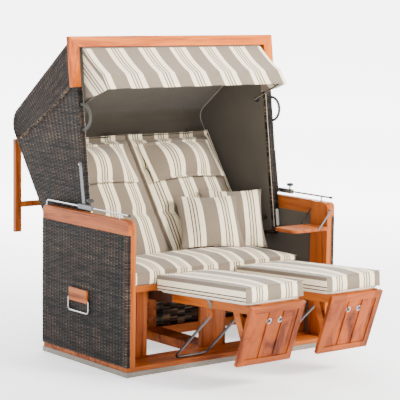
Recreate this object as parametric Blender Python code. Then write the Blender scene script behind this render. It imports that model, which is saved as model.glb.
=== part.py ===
"""Hooded two-seat beach chair with a reclining wicker hood, awning and pull-out footrests.

Metres, +Z up. The front faces -Y, +X is on the right as seen from the front, and the
origin is on the floor under the middle of the base. At rest the hood is upright, the
awning is open and both footrests are out.
"""
import math

import bmesh
import bpy
from mathutils import Matrix, Vector

# Overall size of the base
BASE_WIDTH = 1.36
BASE_DEPTH = 0.765
ARM_HEIGHT = 0.779

# Fits and edges
GAP = 0.0003
OVERRUN = 0.02
EASED_EDGE = 0.002

# Plinth
STRIP_THICKNESS = 0.003
STRIP_HEIGHT = 0.026
PLINTH_TOP = 0.049
SIDE_BEAM_WIDTH = 0.065
REAR_BEAM_WIDTH = 0.05
MIDDLE_BEAM_WIDTH = 0.12
LEDGE_DEPTH = 0.1775
LEDGE_LIP = 0.022
GROOVE_WIDTH = 0.004
GROOVE_DEPTH = 0.003
GROOVE_PITCH = 0.024
GROOVE_COUNT = 6

# Side and rear walls
PANEL_THICKNESS = 0.029
LINING_THICKNESS = 0.005
RAIL_HEIGHT = 0.071
RAIL_CORNER_RADIUS = 0.026
POST_STRIP_DEPTH = 0.008
PILASTER_DEPTH = 0.1325
PILASTER_THICKNESS = 0.016
PILASTER_CORNER_RADIUS = 0.035
REAR_PANEL_THICKNESS = 0.026
REAR_PANEL_TOP = 0.437

# Recessed front wall with one bay for each footrest
WALL_THICKNESS = 0.018
BAY_WIDTH = 0.345
BAY_TOP = 0.397
SEAM_WIDTH = 0.003
SEAM_DEPTH = 0.003
WALL_BOARD_WIDTH = 0.066

# Seat
SEAT_FRONT = -0.285
SEAT_TOP = 0.432
SEAT_RAIL_HEIGHT = 0.031
SEAT_RAIL_DEPTH = 0.025
SEAT_SIDE_ROOM = 0.0407
DECK_THICKNESS = 0.016
DECK_REAR = 0.086
CARRIER_HEIGHT = 0.095
CROSS_RAIL_THICKNESS = 0.0195
REAR_POST_WIDTH = 0.06

# Hood, measured in the side view
HOOD_WALL = 0.03
HOOD_CLEARANCE = 0.0045
HOOD_TIP_Z = 0.556
HOOD_TIP_CUT = 0.03
HOOD_LEAN = math.atan(0.13)
HEADER_TOP = 1.66
HEADER_FACE_Y = 0.155
HEADER_HEIGHT = 0.257
HEADER_DEPTH = 0.025
HEADER_TOP_BOARD = 0.052
HEADER_SIDE_BOARD = 0.058
HEADER_OVERHANG = 0.032
ROOF_START_Y = 0.184
ROOF_START_Z = 1.642
ROOF_PITCH = math.radians(37.2)
BACK_LEAN = math.radians(35.87)
BACK_FOOT_Y = 0.2834
BACK_FOOT_Z = 0.5173
HOOD_CORNER_RADIUS = 0.092
HOOD_CORNER_STEPS = 8
HOOD_LINING = 0.004
LINING_EDGE = 0.006
BRAID_RADIUS = 0.008
BRAID_FRONT_Y = 0.158
BRAID_MIDDLE_Y = 0.35
BRAID_REAR_Y = 0.655
BRAID_FRONT_DROP = 0.24
BRAID_MIDDLE_DROP = 0.232
BRAID_REAR_DROP = 0.178

# Hood pivot
PIVOT_Y = 0.10
PIVOT_DROP = 0.129
PIVOT_RADIUS = 0.008
PIVOT_CLEARANCE = 0.0006
PIVOT_HEAD_RADIUS = 0.014
PIVOT_HEAD_LENGTH = 0.006
WASHER_RADIUS = 0.018

# Grips on the hood's front edge
GRIP_TOP_Z = 1.318
GRIP_BOTTOM_Z = 1.188
GRIP_REACH = 0.078
GRIP_STUB = 0.01
GRIP_RADIUS = 0.0075
GRIP_STEPS = 14
EYE_STEPS = 8

# Awning and its bow
BOW_PIVOT_Y = 0.187
BOW_PIVOT_Z = 1.30
BOW_RADIUS = 0.005
BOW_SIDE_ROOM = 0.0249
BOW_CORNER_RADIUS = 0.03
BOW_KNEE_RADIUS = 0.007
BOW_CLEARANCE = 0.0005
BOW_BAR_SHARE = 0.8
DISC_RADIUS = 0.015
DISC_THICKNESS = 0.006
AWNING_THICKNESS = 0.003
AWNING_SIDE_ROOM = 0.0159
AWNING_TOP_Y = 0.16
AWNING_TOP_Z = 1.6033
AWNING_CREASE_Y = -0.024
AWNING_CREASE_Z = 1.474
AWNING_HEM_Y = -0.076
AWNING_HEM_Z = 1.404
AWNING_REAR_Y = 0.135
AWNING_REAR_Z = 1.345
AWNING_SAG = 0.01
AWNING_RIPPLE = 0.004
AWNING_RIPPLES = 6
AWNING_ACROSS = 36
AWNING_ROOF_STEPS = 6
AWNING_FRONT_STEPS = 3

# Rod, clamp, knob and strap on each arm
ROD_RADIUS = 0.005
ROD_RISE = 0.026
ROD_INSET = 0.016
ROD_FRONT_Y = -0.365
ROD_REAR_Y = 0.365
ROD_BEND_RADIUS = 0.014
ROD_POST_Y = -0.295
ROD_POST_RADIUS = 0.004
ROD_FLANGE_RADIUS = 0.009
ROD_FLANGE_HEIGHT = 0.003
ROD_CLEARANCE = 0.0005
CLAMP_FRONT_Y = -0.058
CLAMP_REAR_Y = 0.066
CLAMP_WIDTH = 0.02
CLAMP_HEIGHT = 0.024
KNOB_Y = -0.035
KNOB_RADIUS = 0.0165
KNOB_LOBE = 0.003
KNOB_LOBES = 6
KNOB_POINTS = 36
KNOB_HEIGHT = 0.016
KNOB_RISE_SHARES = (0.0, 0.25, 0.7, 1.0)
KNOB_SIZE_SHARES = (0.85, 1.0, 1.0, 0.72)
KNOB_STEM_RADIUS = 0.0045
KNOB_STEM_HEIGHT = 0.017
STRAP_WIDTH = 0.022
STRAP_THICKNESS = 0.003
STRAP_STANDOFF = 0.0033
STRAP_FOOT_Y = 0.05
STRAP_FOOT_DROP = 0.003
STRAP_HEAD_Y = 0.085
STRAP_HEAD_RISE = 0.21
STRAP_PIN_RADIUS = 0.004
STRAP_CLEARANCE = 0.0005
STRAP_BOLT_RADIUS = 0.008

# Frame that stands the reclined hood on the floor
PROP_AXIS_Y = 0.735
PROP_AXIS_Z = 1.075
PROP_POST_WIDTH = 0.037
PROP_POST_DEPTH = 0.025
PROP_POST_HEAD = 0.016
PROP_FOOT_Z = 0.586
PROP_BAR_Z = 0.735
PROP_BAR_HEIGHT = 0.03
PROP_BAR_DEPTH = 0.018
PROP_INSET = 0.004
HINGE_WIDTH = 0.03
HINGE_PLATE = 0.003
HINGE_PLATE_REACH = 0.04
HINGE_ROOT = 0.0145
HINGE_EYE_RADIUS = 0.009
HINGE_PIN_RADIUS = 0.005
HINGE_CLEARANCE = 0.0005

# Carrying handle on each side
CARRY_Y = 0.037
CARRY_WIDTH = 0.165
CARRY_DROP = 0.394
CARRY_HEIGHT = 0.067
CARRY_THICKNESS = 0.014
CARRY_EDGE = 0.004
BAIL_RADIUS = 0.004
BAIL_DROP = 0.066
BAIL_AXIS_RISE = 0.014
BAIL_PIN = 0.01
BAIL_SIDE_GAP = 0.004
BAIL_CLEARANCE = 0.0005
BAIL_KNEE_RADIUS = 0.006
BAIL_CORNER_RADIUS = 0.018

# Side table
TABLE_DROP = 0.126
TABLE_THICKNESS = 0.018
TABLE_LENGTH = 0.254
TABLE_FRONT_Y = -0.4
TABLE_FRONT_RADIUS = 0.04
TABLE_REAR_RADIUS = 0.01
STAY_WIDTH = 0.01
STAY_THICKNESS = 0.003
STAY_TOP_DROP = 0.038
STAY_TOP_INSET = 0.008
STAY_REACH = 0.085
STAY_PIN_RADIUS = 0.003

# Footrests, in a frame that runs out and up from the front of the base
REST_OFFSET_SHARE = 0.3765
REST_PITCH = math.radians(3.4)
REST_LINE_Z = 0.3985
TRAY_WIDTH = 0.3
TRAY_REAR = -0.088
TRAY_HEIGHT = 0.045
TRAY_BOARD = 0.012
TRAY_RIM = 0.018
TRAY_TRAVEL = 0.6
LUG_THICKNESS = 0.014
LUG_LENGTH = 0.034
LUG_PIVOT_OUT = 0.258
LUG_PIVOT_DROP = 0.084
RUNNER_WEB = 0.003
RUNNER_FLANGE = 0.0115
RUNNER_CLEARANCE = 0.0005
RUNNER_STOP = 0.012
FLAP_WIDTH = 0.34
FLAP_LENGTH = 0.322
FLAP_THICKNESS = 0.022
FLAP_OUT = 0.648
FLAP_DROP = 0.012
FLAP_LEAN = math.radians(20)
FLAP_RIM = 0.034
FLAP_RECESS = 0.005
FLAP_BOARDS = 3
BRACE_WIDTH = 0.018
BRACE_INSET = 0.013
BRACE_ROOT = 0.448
BRACE_ROOT_LENGTH = 0.05
BRACE_FOOT = 0.19
BRACE_FOOT_LENGTH = 0.05
LEG_RADIUS = 0.007
LEG_SPREAD = 0.1
LEG_KNEE_RADIUS = 0.0095
LEG_CLEARANCE = 0.0006
LEG_FOOT_Y = -0.343
LEG_CORNER_RADIUS = 0.03

# Cushions
DRAW_IN_SHARE = 0.018
SEAT_PAD_LEFT_ROOM = 0.0457
SEAT_PAD_RIGHT_ROOM = 0.1457
SEAT_PAD_FRONT = -0.287
SEAT_PAD_REAR = 0.113
SEAT_PAD_GUSSET = 0.064
SEAT_PAD_CROWN = 0.031
BACK_PAD_SIDE_ROOM = 0.0329
BACK_PAD_SPLIT = 0.006
BACK_PAD_TOP_ROOM = 0.121
BACK_PAD_START = 0.02
BACK_PAD_GUSSET = 0.052
BACK_PAD_CROWN = 0.05
BACK_PAD_LIP = 0.055
BACK_CHANNEL_SHARES = (-0.7, 0.05)
BACK_CHANNEL_DEPTH = 0.02
CHANNEL_WIDTH_SHARE = 0.07
NECK_PAD_MARGIN = 0.111
NECK_PAD_LENGTH = 0.27
NECK_PAD_CROWN = 0.032
NECK_PAD_HEM = 0.008
NECK_PAD_MIDDLE_SHARE = 0.6224
NECK_PAD_SHIFT = 0.0265
NECK_PAD_SINK = 0.0026
THROW_SIZE = 0.34
THROW_CROWN = 0.046
THROW_HEM = 0.006
THROW_LEAN = math.radians(24)
THROW_FRONT_INSET = 0.415
THROW_FRONT_Y = -0.075
THROW_FRONT_SINK = 0.0
THROW_REAR_INSET = 0.14
THROW_REAR_Y = 0.0
THROW_REAR_SINK = 0.0008
REST_PAD_WIDTH = 0.37
REST_PAD_REAR = -0.0845
REST_PAD_LENGTH = 0.702
REST_PAD_GUSSET = 0.074
REST_PAD_CROWN = 0.017

# Finishes: name, colour, roughness, metallic
WICKER = ("wicker", (0.085, 0.07, 0.062), 0.6, 0.0)
TEAK = ("oiled_wood", (0.5, 0.2, 0.075), 0.45, 0.0)
STEEL = ("brushed_steel", (0.62, 0.62, 0.6), 0.3, 1.0)
GREY_CLOTH = ("grey_lining", (0.12, 0.11, 0.1), 0.9, 0.0)
STRIPED = ("striped_fabric", (0.6, 0.54, 0.45), 0.9, 0.0)
BLACK = ("black_plastic", (0.02, 0.02, 0.022), 0.45, 0.0)

# Sizes that several pieces share
HALF_WIDTH = BASE_WIDTH / 2
FRONT = -BASE_DEPTH / 2
REAR = BASE_DEPTH / 2
PANEL_INNER = HALF_WIDTH - PANEL_THICKNESS
ROOM_HALF = PANEL_INNER - GAP - LINING_THICKNESS
HOOD_HALF = ROOM_HALF - HOOD_CLEARANCE
HOOD_INNER = HOOD_HALF - HOOD_WALL
HOOD_ROOM = HOOD_INNER - GAP - HOOD_LINING
RAIL_BOTTOM = ARM_HEIGHT - RAIL_HEIGHT
PILASTER_REAR = FRONT + PILASTER_DEPTH
PILASTER_OUTER = ROOM_HALF - GAP
PILASTER_INNER = PILASTER_OUTER - PILASTER_THICKNESS
WALL_FRONT = FRONT + LEDGE_DEPTH
WALL_REAR = WALL_FRONT + WALL_THICKNESS
REAR_PANEL_FRONT = REAR - REAR_PANEL_THICKNESS
DECK_BOTTOM = SEAT_TOP - DECK_THICKNESS
ROD_X = HALF_WIDTH - ROD_INSET
ROD_Z = ARM_HEIGHT + ROD_RISE
PROP_OUTER = HOOD_HALF - PROP_INSET
PROP_INNER = PROP_OUTER - PROP_POST_WIDTH
TABLE_OUTER = PILASTER_INNER - GAP
STAY_TOP_X = PILASTER_OUTER - STAY_TOP_INSET
CARRY_AXIS_X = HALF_WIDTH + GAP + CARRY_THICKNESS / 2
HEADER_HALF = HOOD_HALF + HEADER_OVERHANG
BACK_PAD_HEIGHT = HOOD_WALL + GAP + HOOD_LINING + GAP
PIVOT_Z = ARM_HEIGHT - PIVOT_DROP
STRAP_FOOT_Z = ROD_Z - STRAP_FOOT_DROP
STRAP_HEAD_Z = ROD_Z + STRAP_HEAD_RISE
CARRY_TOP_Z = ARM_HEIGHT - CARRY_DROP
CARRY_BOTTOM_Z = CARRY_TOP_Z - CARRY_HEIGHT
CARRY_AXIS_Z = CARRY_BOTTOM_Z + BAIL_AXIS_RISE
TABLE_TOP_Z = ARM_HEIGHT - TABLE_DROP
STAY_TOP_Z = ARM_HEIGHT - STAY_TOP_DROP
SEAT_HALF_WIDTH = ROOM_HALF - SEAT_SIDE_ROOM
BOW_HALF_WIDTH = HOOD_ROOM - BOW_SIDE_ROOM
AWNING_HALF_WIDTH = HOOD_ROOM - AWNING_SIDE_ROOM
REST_OFFSET = HALF_WIDTH * REST_OFFSET_SHARE

# Cushions fitted to the seat and to the hood's back
SEAT_PAD_LEFT = SEAT_PAD_LEFT_ROOM - ROOM_HALF
SEAT_PAD_RIGHT = ROOM_HALF - SEAT_PAD_RIGHT_ROOM
BACK_SLOPE = math.cos(BACK_LEAN) + math.tan(ROOF_PITCH) * math.sin(BACK_LEAN)
BACK_RISE = ROOF_START_Z - BACK_FOOT_Z - math.tan(ROOF_PITCH) * (BACK_FOOT_Y - ROOF_START_Y)
BACK_PAD_LENGTH = BACK_RISE / BACK_SLOPE - BACK_PAD_TOP_ROOM
BACK_PAD_WIDTH = HOOD_ROOM - BACK_PAD_SIDE_ROOM - BACK_PAD_SPLIT / 2
BACK_PAD_OFFSET = (BACK_PAD_SPLIT + BACK_PAD_WIDTH) / 2
NECK_PAD_WIDTH = BACK_PAD_WIDTH - NECK_PAD_MARGIN
NECK_PAD_OFFSET = BACK_PAD_OFFSET - NECK_PAD_SHIFT
NECK_PAD_MIDDLE = BACK_PAD_START + NECK_PAD_MIDDLE_SHARE * BACK_PAD_LENGTH
THROW_FRONT_X = SEAT_PAD_RIGHT - THROW_FRONT_INSET
THROW_REAR_X = SEAT_PAD_RIGHT - THROW_REAR_INSET

# Directions of the hood's back, of its front and of the footrests
ACROSS = Vector((1, 0, 0))
BACK_UP = Vector((0, math.sin(BACK_LEAN), math.cos(BACK_LEAN)))
BACK_FACE = Vector((0, -math.cos(BACK_LEAN), math.sin(BACK_LEAN)))
BACK_FOOT = Vector((0, BACK_FOOT_Y, BACK_FOOT_Z))
HOOD_UP = Vector((0, math.sin(HOOD_LEAN), math.cos(HOOD_LEAN)))
HOOD_FACE = Vector((0, -math.cos(HOOD_LEAN), math.sin(HOOD_LEAN)))
HEADER_EDGE = Vector((0, HEADER_FACE_Y, HEADER_TOP))
REST_OUT = Vector((0, -math.cos(REST_PITCH), math.sin(REST_PITCH)))
REST_UP = Vector((0, math.sin(REST_PITCH), math.cos(REST_PITCH)))
REST_START = Vector((0, FRONT, REST_LINE_Z))
FLAP_TURN = FLAP_LEAN + REST_PITCH


def clear_scene():
    """Remove whatever objects the file holds."""
    for item in list(bpy.data.objects):
        bpy.data.objects.remove(item, do_unlink=True)


def finish_material(finish):
    """Principled material for one finish, made once."""
    name, colour, roughness, metallic = finish
    material = bpy.data.materials.get(name)
    if material is None:
        material = bpy.data.materials.new(name)
        material.use_nodes = True
        shader = material.node_tree.nodes["Principled BSDF"]
        shader.inputs["Base Color"].default_value = (*colour, 1.0)
        shader.inputs["Roughness"].default_value = roughness
        shader.inputs["Metallic"].default_value = metallic
    return material


def mesh_from(bm, name):
    """Mesh with outward normals from a closed bmesh."""
    bmesh.ops.recalc_face_normals(bm, faces=list(bm.faces))
    mesh = bpy.data.meshes.new(name)
    bm.to_mesh(mesh)
    bm.free()
    return mesh


def link_object(name, mesh):
    """Object that holds a mesh, linked to the scene."""
    item = bpy.data.objects.new(name, mesh)
    bpy.context.scene.collection.objects.link(item)
    return item


def apply_modifiers(item):
    """Give the object its evaluated mesh and clear its modifiers."""
    bpy.context.view_layer.update()
    evaluated = item.evaluated_get(bpy.context.evaluated_depsgraph_get())
    mesh = bpy.data.meshes.new_from_object(evaluated)
    item.modifiers.clear()
    item.data = mesh


def combine(item, operation, shape):
    """Join a shape to the object or cut it away with an exact Boolean."""
    other = link_object(item.name + "_tool", mesh_from(shape, item.name + "_tool"))
    boolean = item.modifiers.new(operation.lower(), "BOOLEAN")
    boolean.operation = operation
    boolean.solver = "EXACT"
    boolean.object = other
    apply_modifiers(item)
    bpy.data.objects.remove(other, do_unlink=True)


def paint(item, finish):
    """Give the object its finish, smooth on round faces and sharp at edges."""
    item.data.materials.clear()
    item.data.materials.append(finish_material(finish))
    item.data.shade_smooth()
    item.data.set_sharp_from_angle(angle=math.radians(35))


def solid(name, shape, finish, add=(), cut=()):
    """One named body: a shape, what is joined to it and what is cut from it."""
    item = link_object(name, mesh_from(shape, name))
    for extra in add:
        combine(item, "UNION", extra)
    for tool in cut:
        combine(item, "DIFFERENCE", tool)
    paint(item, finish)


def box(low, high, edge=0.0):
    """Box between two corners, with eased edges."""
    bm = bmesh.new()
    bmesh.ops.create_cube(bm, size=1.0)
    size = Vector(high) - Vector(low)
    middle = (Vector(high) + Vector(low)) / 2
    bmesh.ops.scale(bm, vec=size, verts=list(bm.verts))
    bmesh.ops.translate(bm, vec=middle, verts=list(bm.verts))
    if edge > 0:
        bmesh.ops.bevel(bm, geom=list(bm.edges), offset=edge, segments=1, affect="EDGES")
    return bm


def prism(points, sweep):
    """Extrude a closed outline of 3-D points along a vector."""
    bm = bmesh.new()
    first = [bm.verts.new(Vector(p)) for p in points]
    second = [bm.verts.new(Vector(p) + Vector(sweep)) for p in points]
    bm.faces.new(first)
    bm.faces.new(list(reversed(second)))
    count = len(points)
    for i in range(count):
        j = (i + 1) % count
        bm.faces.new((first[i], second[i], second[j], first[j]))
    return bm


def side_prism(outline, low_x, high_x):
    """Extrude a side-view outline of (y, z) points across X."""
    return prism([(low_x, y, z) for y, z in outline], (high_x - low_x, 0, 0))


def tube(path, radius, sides=10):
    """Round bar along a path, with flat ends."""
    path = [Vector(p) for p in path]
    bm = bmesh.new()
    rings = []
    direction = (path[1] - path[0]).normalized()
    helper = Vector((0, 0, 1)) if abs(direction.z) < 0.9 else Vector((1, 0, 0))
    side = direction.cross(helper).normalized()
    for i, point in enumerate(path):
        ahead = path[min(i + 1, len(path) - 1)] - point
        behind = point - path[max(i - 1, 0)]
        tangent = (ahead.normalized() + behind.normalized()).normalized()
        side = (side - tangent * side.dot(tangent)).normalized()
        other = tangent.cross(side)
        ring = []
        for k in range(sides):
            angle = 2 * math.pi * (k + 0.5) / sides
            offset = side * math.cos(angle) + other * math.sin(angle)
            ring.append(bm.verts.new(point + offset * radius))
        rings.append(ring)
    for first, second in zip(rings, rings[1:]):
        for k in range(sides):
            n = (k + 1) % sides
            bm.faces.new((first[k], first[n], second[n], second[k]))
    bm.faces.new(list(reversed(rings[0])))
    bm.faces.new(rings[-1])
    return bm


def pin(start, end, radius, sides=20):
    """Straight round pin, or the tool for its hole."""
    return tube([start, end], radius, sides)


def across_pin(low_x, high_x, y, z, radius, sides=20):
    """Round pin or hole across X."""
    return pin((low_x, y, z), (high_x, y, z), radius, sides)


def rounded(corners, radii, steps=4):
    """Path through corners, each inner corner eased by its own radius."""
    corners = [Vector(c) for c in corners]
    path = [corners[0]]
    for before, corner, after, radius in zip(corners, corners[1:], corners[2:], radii):
        incoming = (before - corner).normalized()
        outgoing = (after - corner).normalized()
        half = incoming.angle(outgoing) / 2
        centre = corner + (incoming + outgoing).normalized() * (radius / math.sin(half))
        first = corner + incoming * (radius / math.tan(half)) - centre
        last = corner + outgoing * (radius / math.tan(half)) - centre
        sweep = math.pi - 2 * half
        for i in range(steps + 1):
            angle = sweep * i / steps
            place = (first * math.sin(sweep - angle) + last * math.sin(angle)) / math.sin(sweep)
            path.append(centre + place)
    path.append(corners[-1])
    return path


def closed_rounded(corners, radii, steps=4):
    """Closed outline whose corners are eased by their own radii, zero for a sharp one."""
    corners = [Vector(c) for c in corners]
    outline = []
    for i, radius in enumerate(radii):
        if radius > 0:
            three = [corners[i - 1], corners[i], corners[(i + 1) % len(corners)]]
            outline += rounded(three, [radius], steps)[1:-1]
        else:
            outline.append(corners[i])
    return [(p.x, p.y) for p in outline]


def stadium(start, end, width, steps=6):
    """Outline of a bar with round ends between two points in a plane."""
    turn = math.atan2(end[1] - start[1], end[0] - start[0])
    outline = []
    for centre, begin in ((start, turn + math.pi / 2), (end, turn - math.pi / 2)):
        for i in range(steps + 1):
            angle = begin + math.pi * i / steps
            outline.append((centre[0] + width / 2 * math.cos(angle), centre[1] + width / 2 * math.sin(angle)))
    return outline


def meet(point, along, other, other_along):
    """Where two lines in a plane cross."""
    cross = along.x * other_along.y - along.y * other_along.x
    to_other = other - point
    return point + along * ((to_other.x * other_along.y - to_other.y * other_along.x) / cross)


def placed(bm, origin, across, along, up):
    """Carry a shape from its own axes to a place in the object."""
    matrix = Matrix((across, along, up)).transposed().to_4x4()
    matrix.translation = origin
    bmesh.ops.transform(bm, matrix=matrix, verts=list(bm.verts))
    return bm


def side_name(base, sign):
    """Name of the left or right one of a pair, as seen from the front."""
    return base + ("_left" if sign < 0 else "_right")


def side_box(sign, inner, outer, low, high, edge=0.0):
    """Box on one side between two distances from the middle, with (y, z) corners."""
    low_x, high_x = sorted((sign * inner, sign * outer))
    return box((low_x, *low), (high_x, *high), edge)


def rest_point(x, out, up):
    """Point in the footrests' frame."""
    return ACROSS * x + REST_START + REST_OUT * out + REST_UP * up


def back_point(x, distance, height):
    """Point on the hood's back: up from its foot, and in front of its outer face."""
    return ACROSS * x + BACK_FOOT + BACK_UP * distance + BACK_FACE * height


def hood_front(z, depth=0.0):
    """Y of the hood's front plane, or of a plane behind it, at a height."""
    return HEADER_FACE_Y - math.tan(HOOD_LEAN) * (HEADER_TOP - z) + depth / math.cos(HOOD_LEAN)


def roof_z(y):
    """Height of the roof's outer face."""
    return ROOF_START_Z - math.tan(ROOF_PITCH) * (y - ROOF_START_Y)


def hood_curve(inset, front_depth, extend):
    """Side-view line of the roof, its rounded corner and the back, down to the foot."""
    roof_along = Vector((math.cos(ROOF_PITCH), -math.sin(ROOF_PITCH)))
    roof_in = Vector((-math.sin(ROOF_PITCH), -math.cos(ROOF_PITCH)))
    back_along = Vector((math.sin(BACK_LEAN), math.cos(BACK_LEAN)))
    back_in = Vector((-math.cos(BACK_LEAN), math.sin(BACK_LEAN)))
    roof = Vector((ROOF_START_Y, ROOF_START_Z)) + roof_in * inset
    foot = Vector((BACK_FOOT_Y, BACK_FOOT_Z)) + back_in * inset
    corner = meet(roof, roof_along, foot, back_along)
    front_foot = Vector((hood_front(0, front_depth), 0))
    front_along = Vector((math.sin(HOOD_LEAN), math.cos(HOOD_LEAN)))
    start = meet(roof, roof_along, front_foot, front_along) - roof_along * extend
    end = foot - back_along * extend
    points = rounded([start, corner, end], [HOOD_CORNER_RADIUS - inset], HOOD_CORNER_STEPS)
    return [(p.x, p.y) for p in points]


def hood_side_outline():
    """Side-view outline of the hood's walls, stepped back behind the header."""
    cut_top = HOOD_TIP_Z + HOOD_TIP_CUT
    below = HEADER_EDGE - HOOD_UP * (HEADER_HEIGHT + GAP)
    behind = below - HOOD_FACE * (HEADER_DEPTH + GAP)
    outline = [(hood_front(HOOD_TIP_Z) + HOOD_TIP_CUT, HOOD_TIP_Z), (hood_front(cut_top), cut_top)]
    outline += [(below.y, below.z), (behind.y, behind.z)]
    return outline + hood_curve(0, HEADER_DEPTH + GAP, 0)


def hood_lining_outline():
    """Side-view outline of the hood's lining, a little inside its edges."""
    depth = HEADER_DEPTH + LINING_EDGE
    low = HOOD_TIP_Z + HOOD_TIP_CUT
    return [(hood_front(low, depth), low)] + hood_curve(HOOD_WALL + GAP, depth, -LINING_EDGE)


def cavity_outline(inset):
    """Side-view outline of the hood's inside, open past its front and foot."""
    curve = hood_curve(inset, 0, BASE_DEPTH)
    ahead = FRONT - BASE_DEPTH
    return curve + [(ahead, curve[-1][1]), (ahead, curve[0][1])]


def bulge(share, power=2.5):
    """Height share of a stuffed face, 1 in the middle and 0 at the seam."""
    return 1 - abs(share) ** power


def pad(size, gusset, crown, counts, hem=0.0, channels=(), lip=0.0):
    """Stuffed cushion in its own axes: crowned top, drawn-in sides and sewn channels.

    With a hem, the underside bulges too and the seam lies halfway up. The lip draws the
    lower end's front edge down.
    """
    width, length = size
    across, along = counts
    under = crown if hem > 0 else 0.0
    side = hem if hem > 0 else gusset
    top = under + side + crown
    bm = bmesh.new()

    def spot(i, j, upper):
        u = math.sin(math.pi * (i / across - 0.5))
        v = math.sin(math.pi * (j / along - 0.5))
        x = u * width / 2 * (1 - DRAW_IN_SHARE * bulge(v, 2))
        y = v * length / 2 * (1 - DRAW_IN_SHARE * bulge(u, 2))
        swell = bulge(u) * bulge(v)
        z = under * (1 - swell)
        if upper:
            z = under + side + crown * swell
            for share in channels:
                sink = math.exp(-(((v - share) / CHANNEL_WIDTH_SHARE) ** 2))
                z -= BACK_CHANNEL_DEPTH * sink * bulge(u, 8)
        y -= lip * max(0.0, -v) ** 2 * z / top
        return bm.verts.new((x, y, z))

    uppers = [[spot(i, j, True) for j in range(along + 1)] for i in range(across + 1)]
    lowers = [[spot(i, j, False) for j in range(along + 1)] for i in range(across + 1)]
    for grid in (uppers, lowers):
        for i in range(across):
            for j in range(along):
                bm.faces.new((grid[i][j], grid[i + 1][j], grid[i + 1][j + 1], grid[i][j + 1]))
    ring = [(i, 0) for i in range(across)] + [(across, j) for j in range(along)]
    ring += [(i, along) for i in range(across, 0, -1)] + [(0, j) for j in range(along, 0, -1)]
    for (i, j), (k, m) in zip(ring, ring[1:] + ring[:1]):
        bm.faces.new((uppers[i][j], uppers[k][m], lowers[k][m], lowers[i][j]))
    return bm


def make_plinth():
    """Beams that stand on the floor, with the grooved ledge along the front."""
    reach = HALF_WIDTH - STRIP_THICKNESS - GAP
    ahead = FRONT + STRIP_THICKNESS + GAP
    frame = box((-reach, ahead, 0), (reach, -ahead, PLINTH_TOP), EASED_EDGE)
    side = HALF_WIDTH - SIDE_BEAM_WIDTH
    low, high = (WALL_REAR, -OVERRUN), (REAR - REAR_BEAM_WIDTH, PLINTH_TOP + OVERRUN)
    cuts = [side_box(sign, MIDDLE_BEAM_WIDTH / 2, side, low, high) for sign in (-1, 1)]
    floor_z = PLINTH_TOP - GROOVE_DEPTH
    for i in range(GROOVE_COUNT):
        start = FRONT + LEDGE_LIP + GROOVE_PITCH * i
        cuts.append(box((-side, start, floor_z), (side, start + GROOVE_WIDTH, PLINTH_TOP + OVERRUN)))
    solid("plinth", frame, TEAK, cut=cuts)

    strip = box((-HALF_WIDTH, FRONT, 0), (HALF_WIDTH, REAR, STRIP_HEIGHT))
    reach = HALF_WIDTH - STRIP_THICKNESS
    ahead = FRONT + STRIP_THICKNESS
    hollow = box((-reach, ahead, -OVERRUN), (reach, -ahead, STRIP_HEIGHT + OVERRUN))
    solid("edge_strip", strip, STEEL, cut=[hollow])


def make_side(sign):
    """Wicker side with its lining, arm rail and front post."""
    low_z = PLINTH_TOP + GAP
    high_z = RAIL_BOTTOM - GAP
    behind = FRONT + POST_STRIP_DEPTH + GAP
    panel = side_box(sign, PANEL_INNER, HALF_WIDTH, (behind, low_z), (REAR, high_z), EASED_EDGE)
    solid(side_name("side_panel", sign), panel, WICKER)
    lining_rear = REAR_PANEL_FRONT - GAP
    lining = side_box(sign, ROOM_HALF, ROOM_HALF + LINING_THICKNESS, (behind, low_z), (lining_rear, high_z))
    solid(side_name("side_lining", sign), lining, GREY_CLOTH)

    corners = [(FRONT, RAIL_BOTTOM), (REAR, RAIL_BOTTOM), (REAR, ARM_HEIGHT), (FRONT, ARM_HEIGHT)]
    outline = closed_rounded(corners, [0, 0, RAIL_CORNER_RADIUS, RAIL_CORNER_RADIUS])
    rail = side_prism(outline, sign * ROOM_HALF, sign * HALF_WIDTH)
    solid(side_name("arm_rail", sign), rail, TEAK)

    corners = [(FRONT, low_z), (PILASTER_REAR, low_z), (PILASTER_REAR, ARM_HEIGHT), (FRONT, ARM_HEIGHT)]
    outline = closed_rounded(corners, [0, 0, EASED_EDGE, PILASTER_CORNER_RADIUS])
    pilaster = side_prism(outline, sign * PILASTER_INNER, sign * PILASTER_OUTER)
    strip_inner = PILASTER_INNER + EASED_EDGE
    strip = side_box(sign, strip_inner, HALF_WIDTH, (FRONT, low_z), (FRONT + POST_STRIP_DEPTH, high_z))
    solid(side_name("front_post", sign), pilaster, TEAK, add=[strip])


def make_rear_panel():
    """Low wicker wall at the back of the base, round along its top."""
    low_z = PLINTH_TOP + GAP
    radius = REAR_PANEL_THICKNESS / 2 - GAP
    corners = [(REAR_PANEL_FRONT, low_z), (REAR, low_z), (REAR, REAR_PANEL_TOP),
               (REAR_PANEL_FRONT, REAR_PANEL_TOP)]
    outline = closed_rounded(corners, [0, 0, radius, radius])
    reach = PANEL_INNER - GAP
    solid("rear_panel", side_prism(outline, -reach, reach), WICKER)


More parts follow.
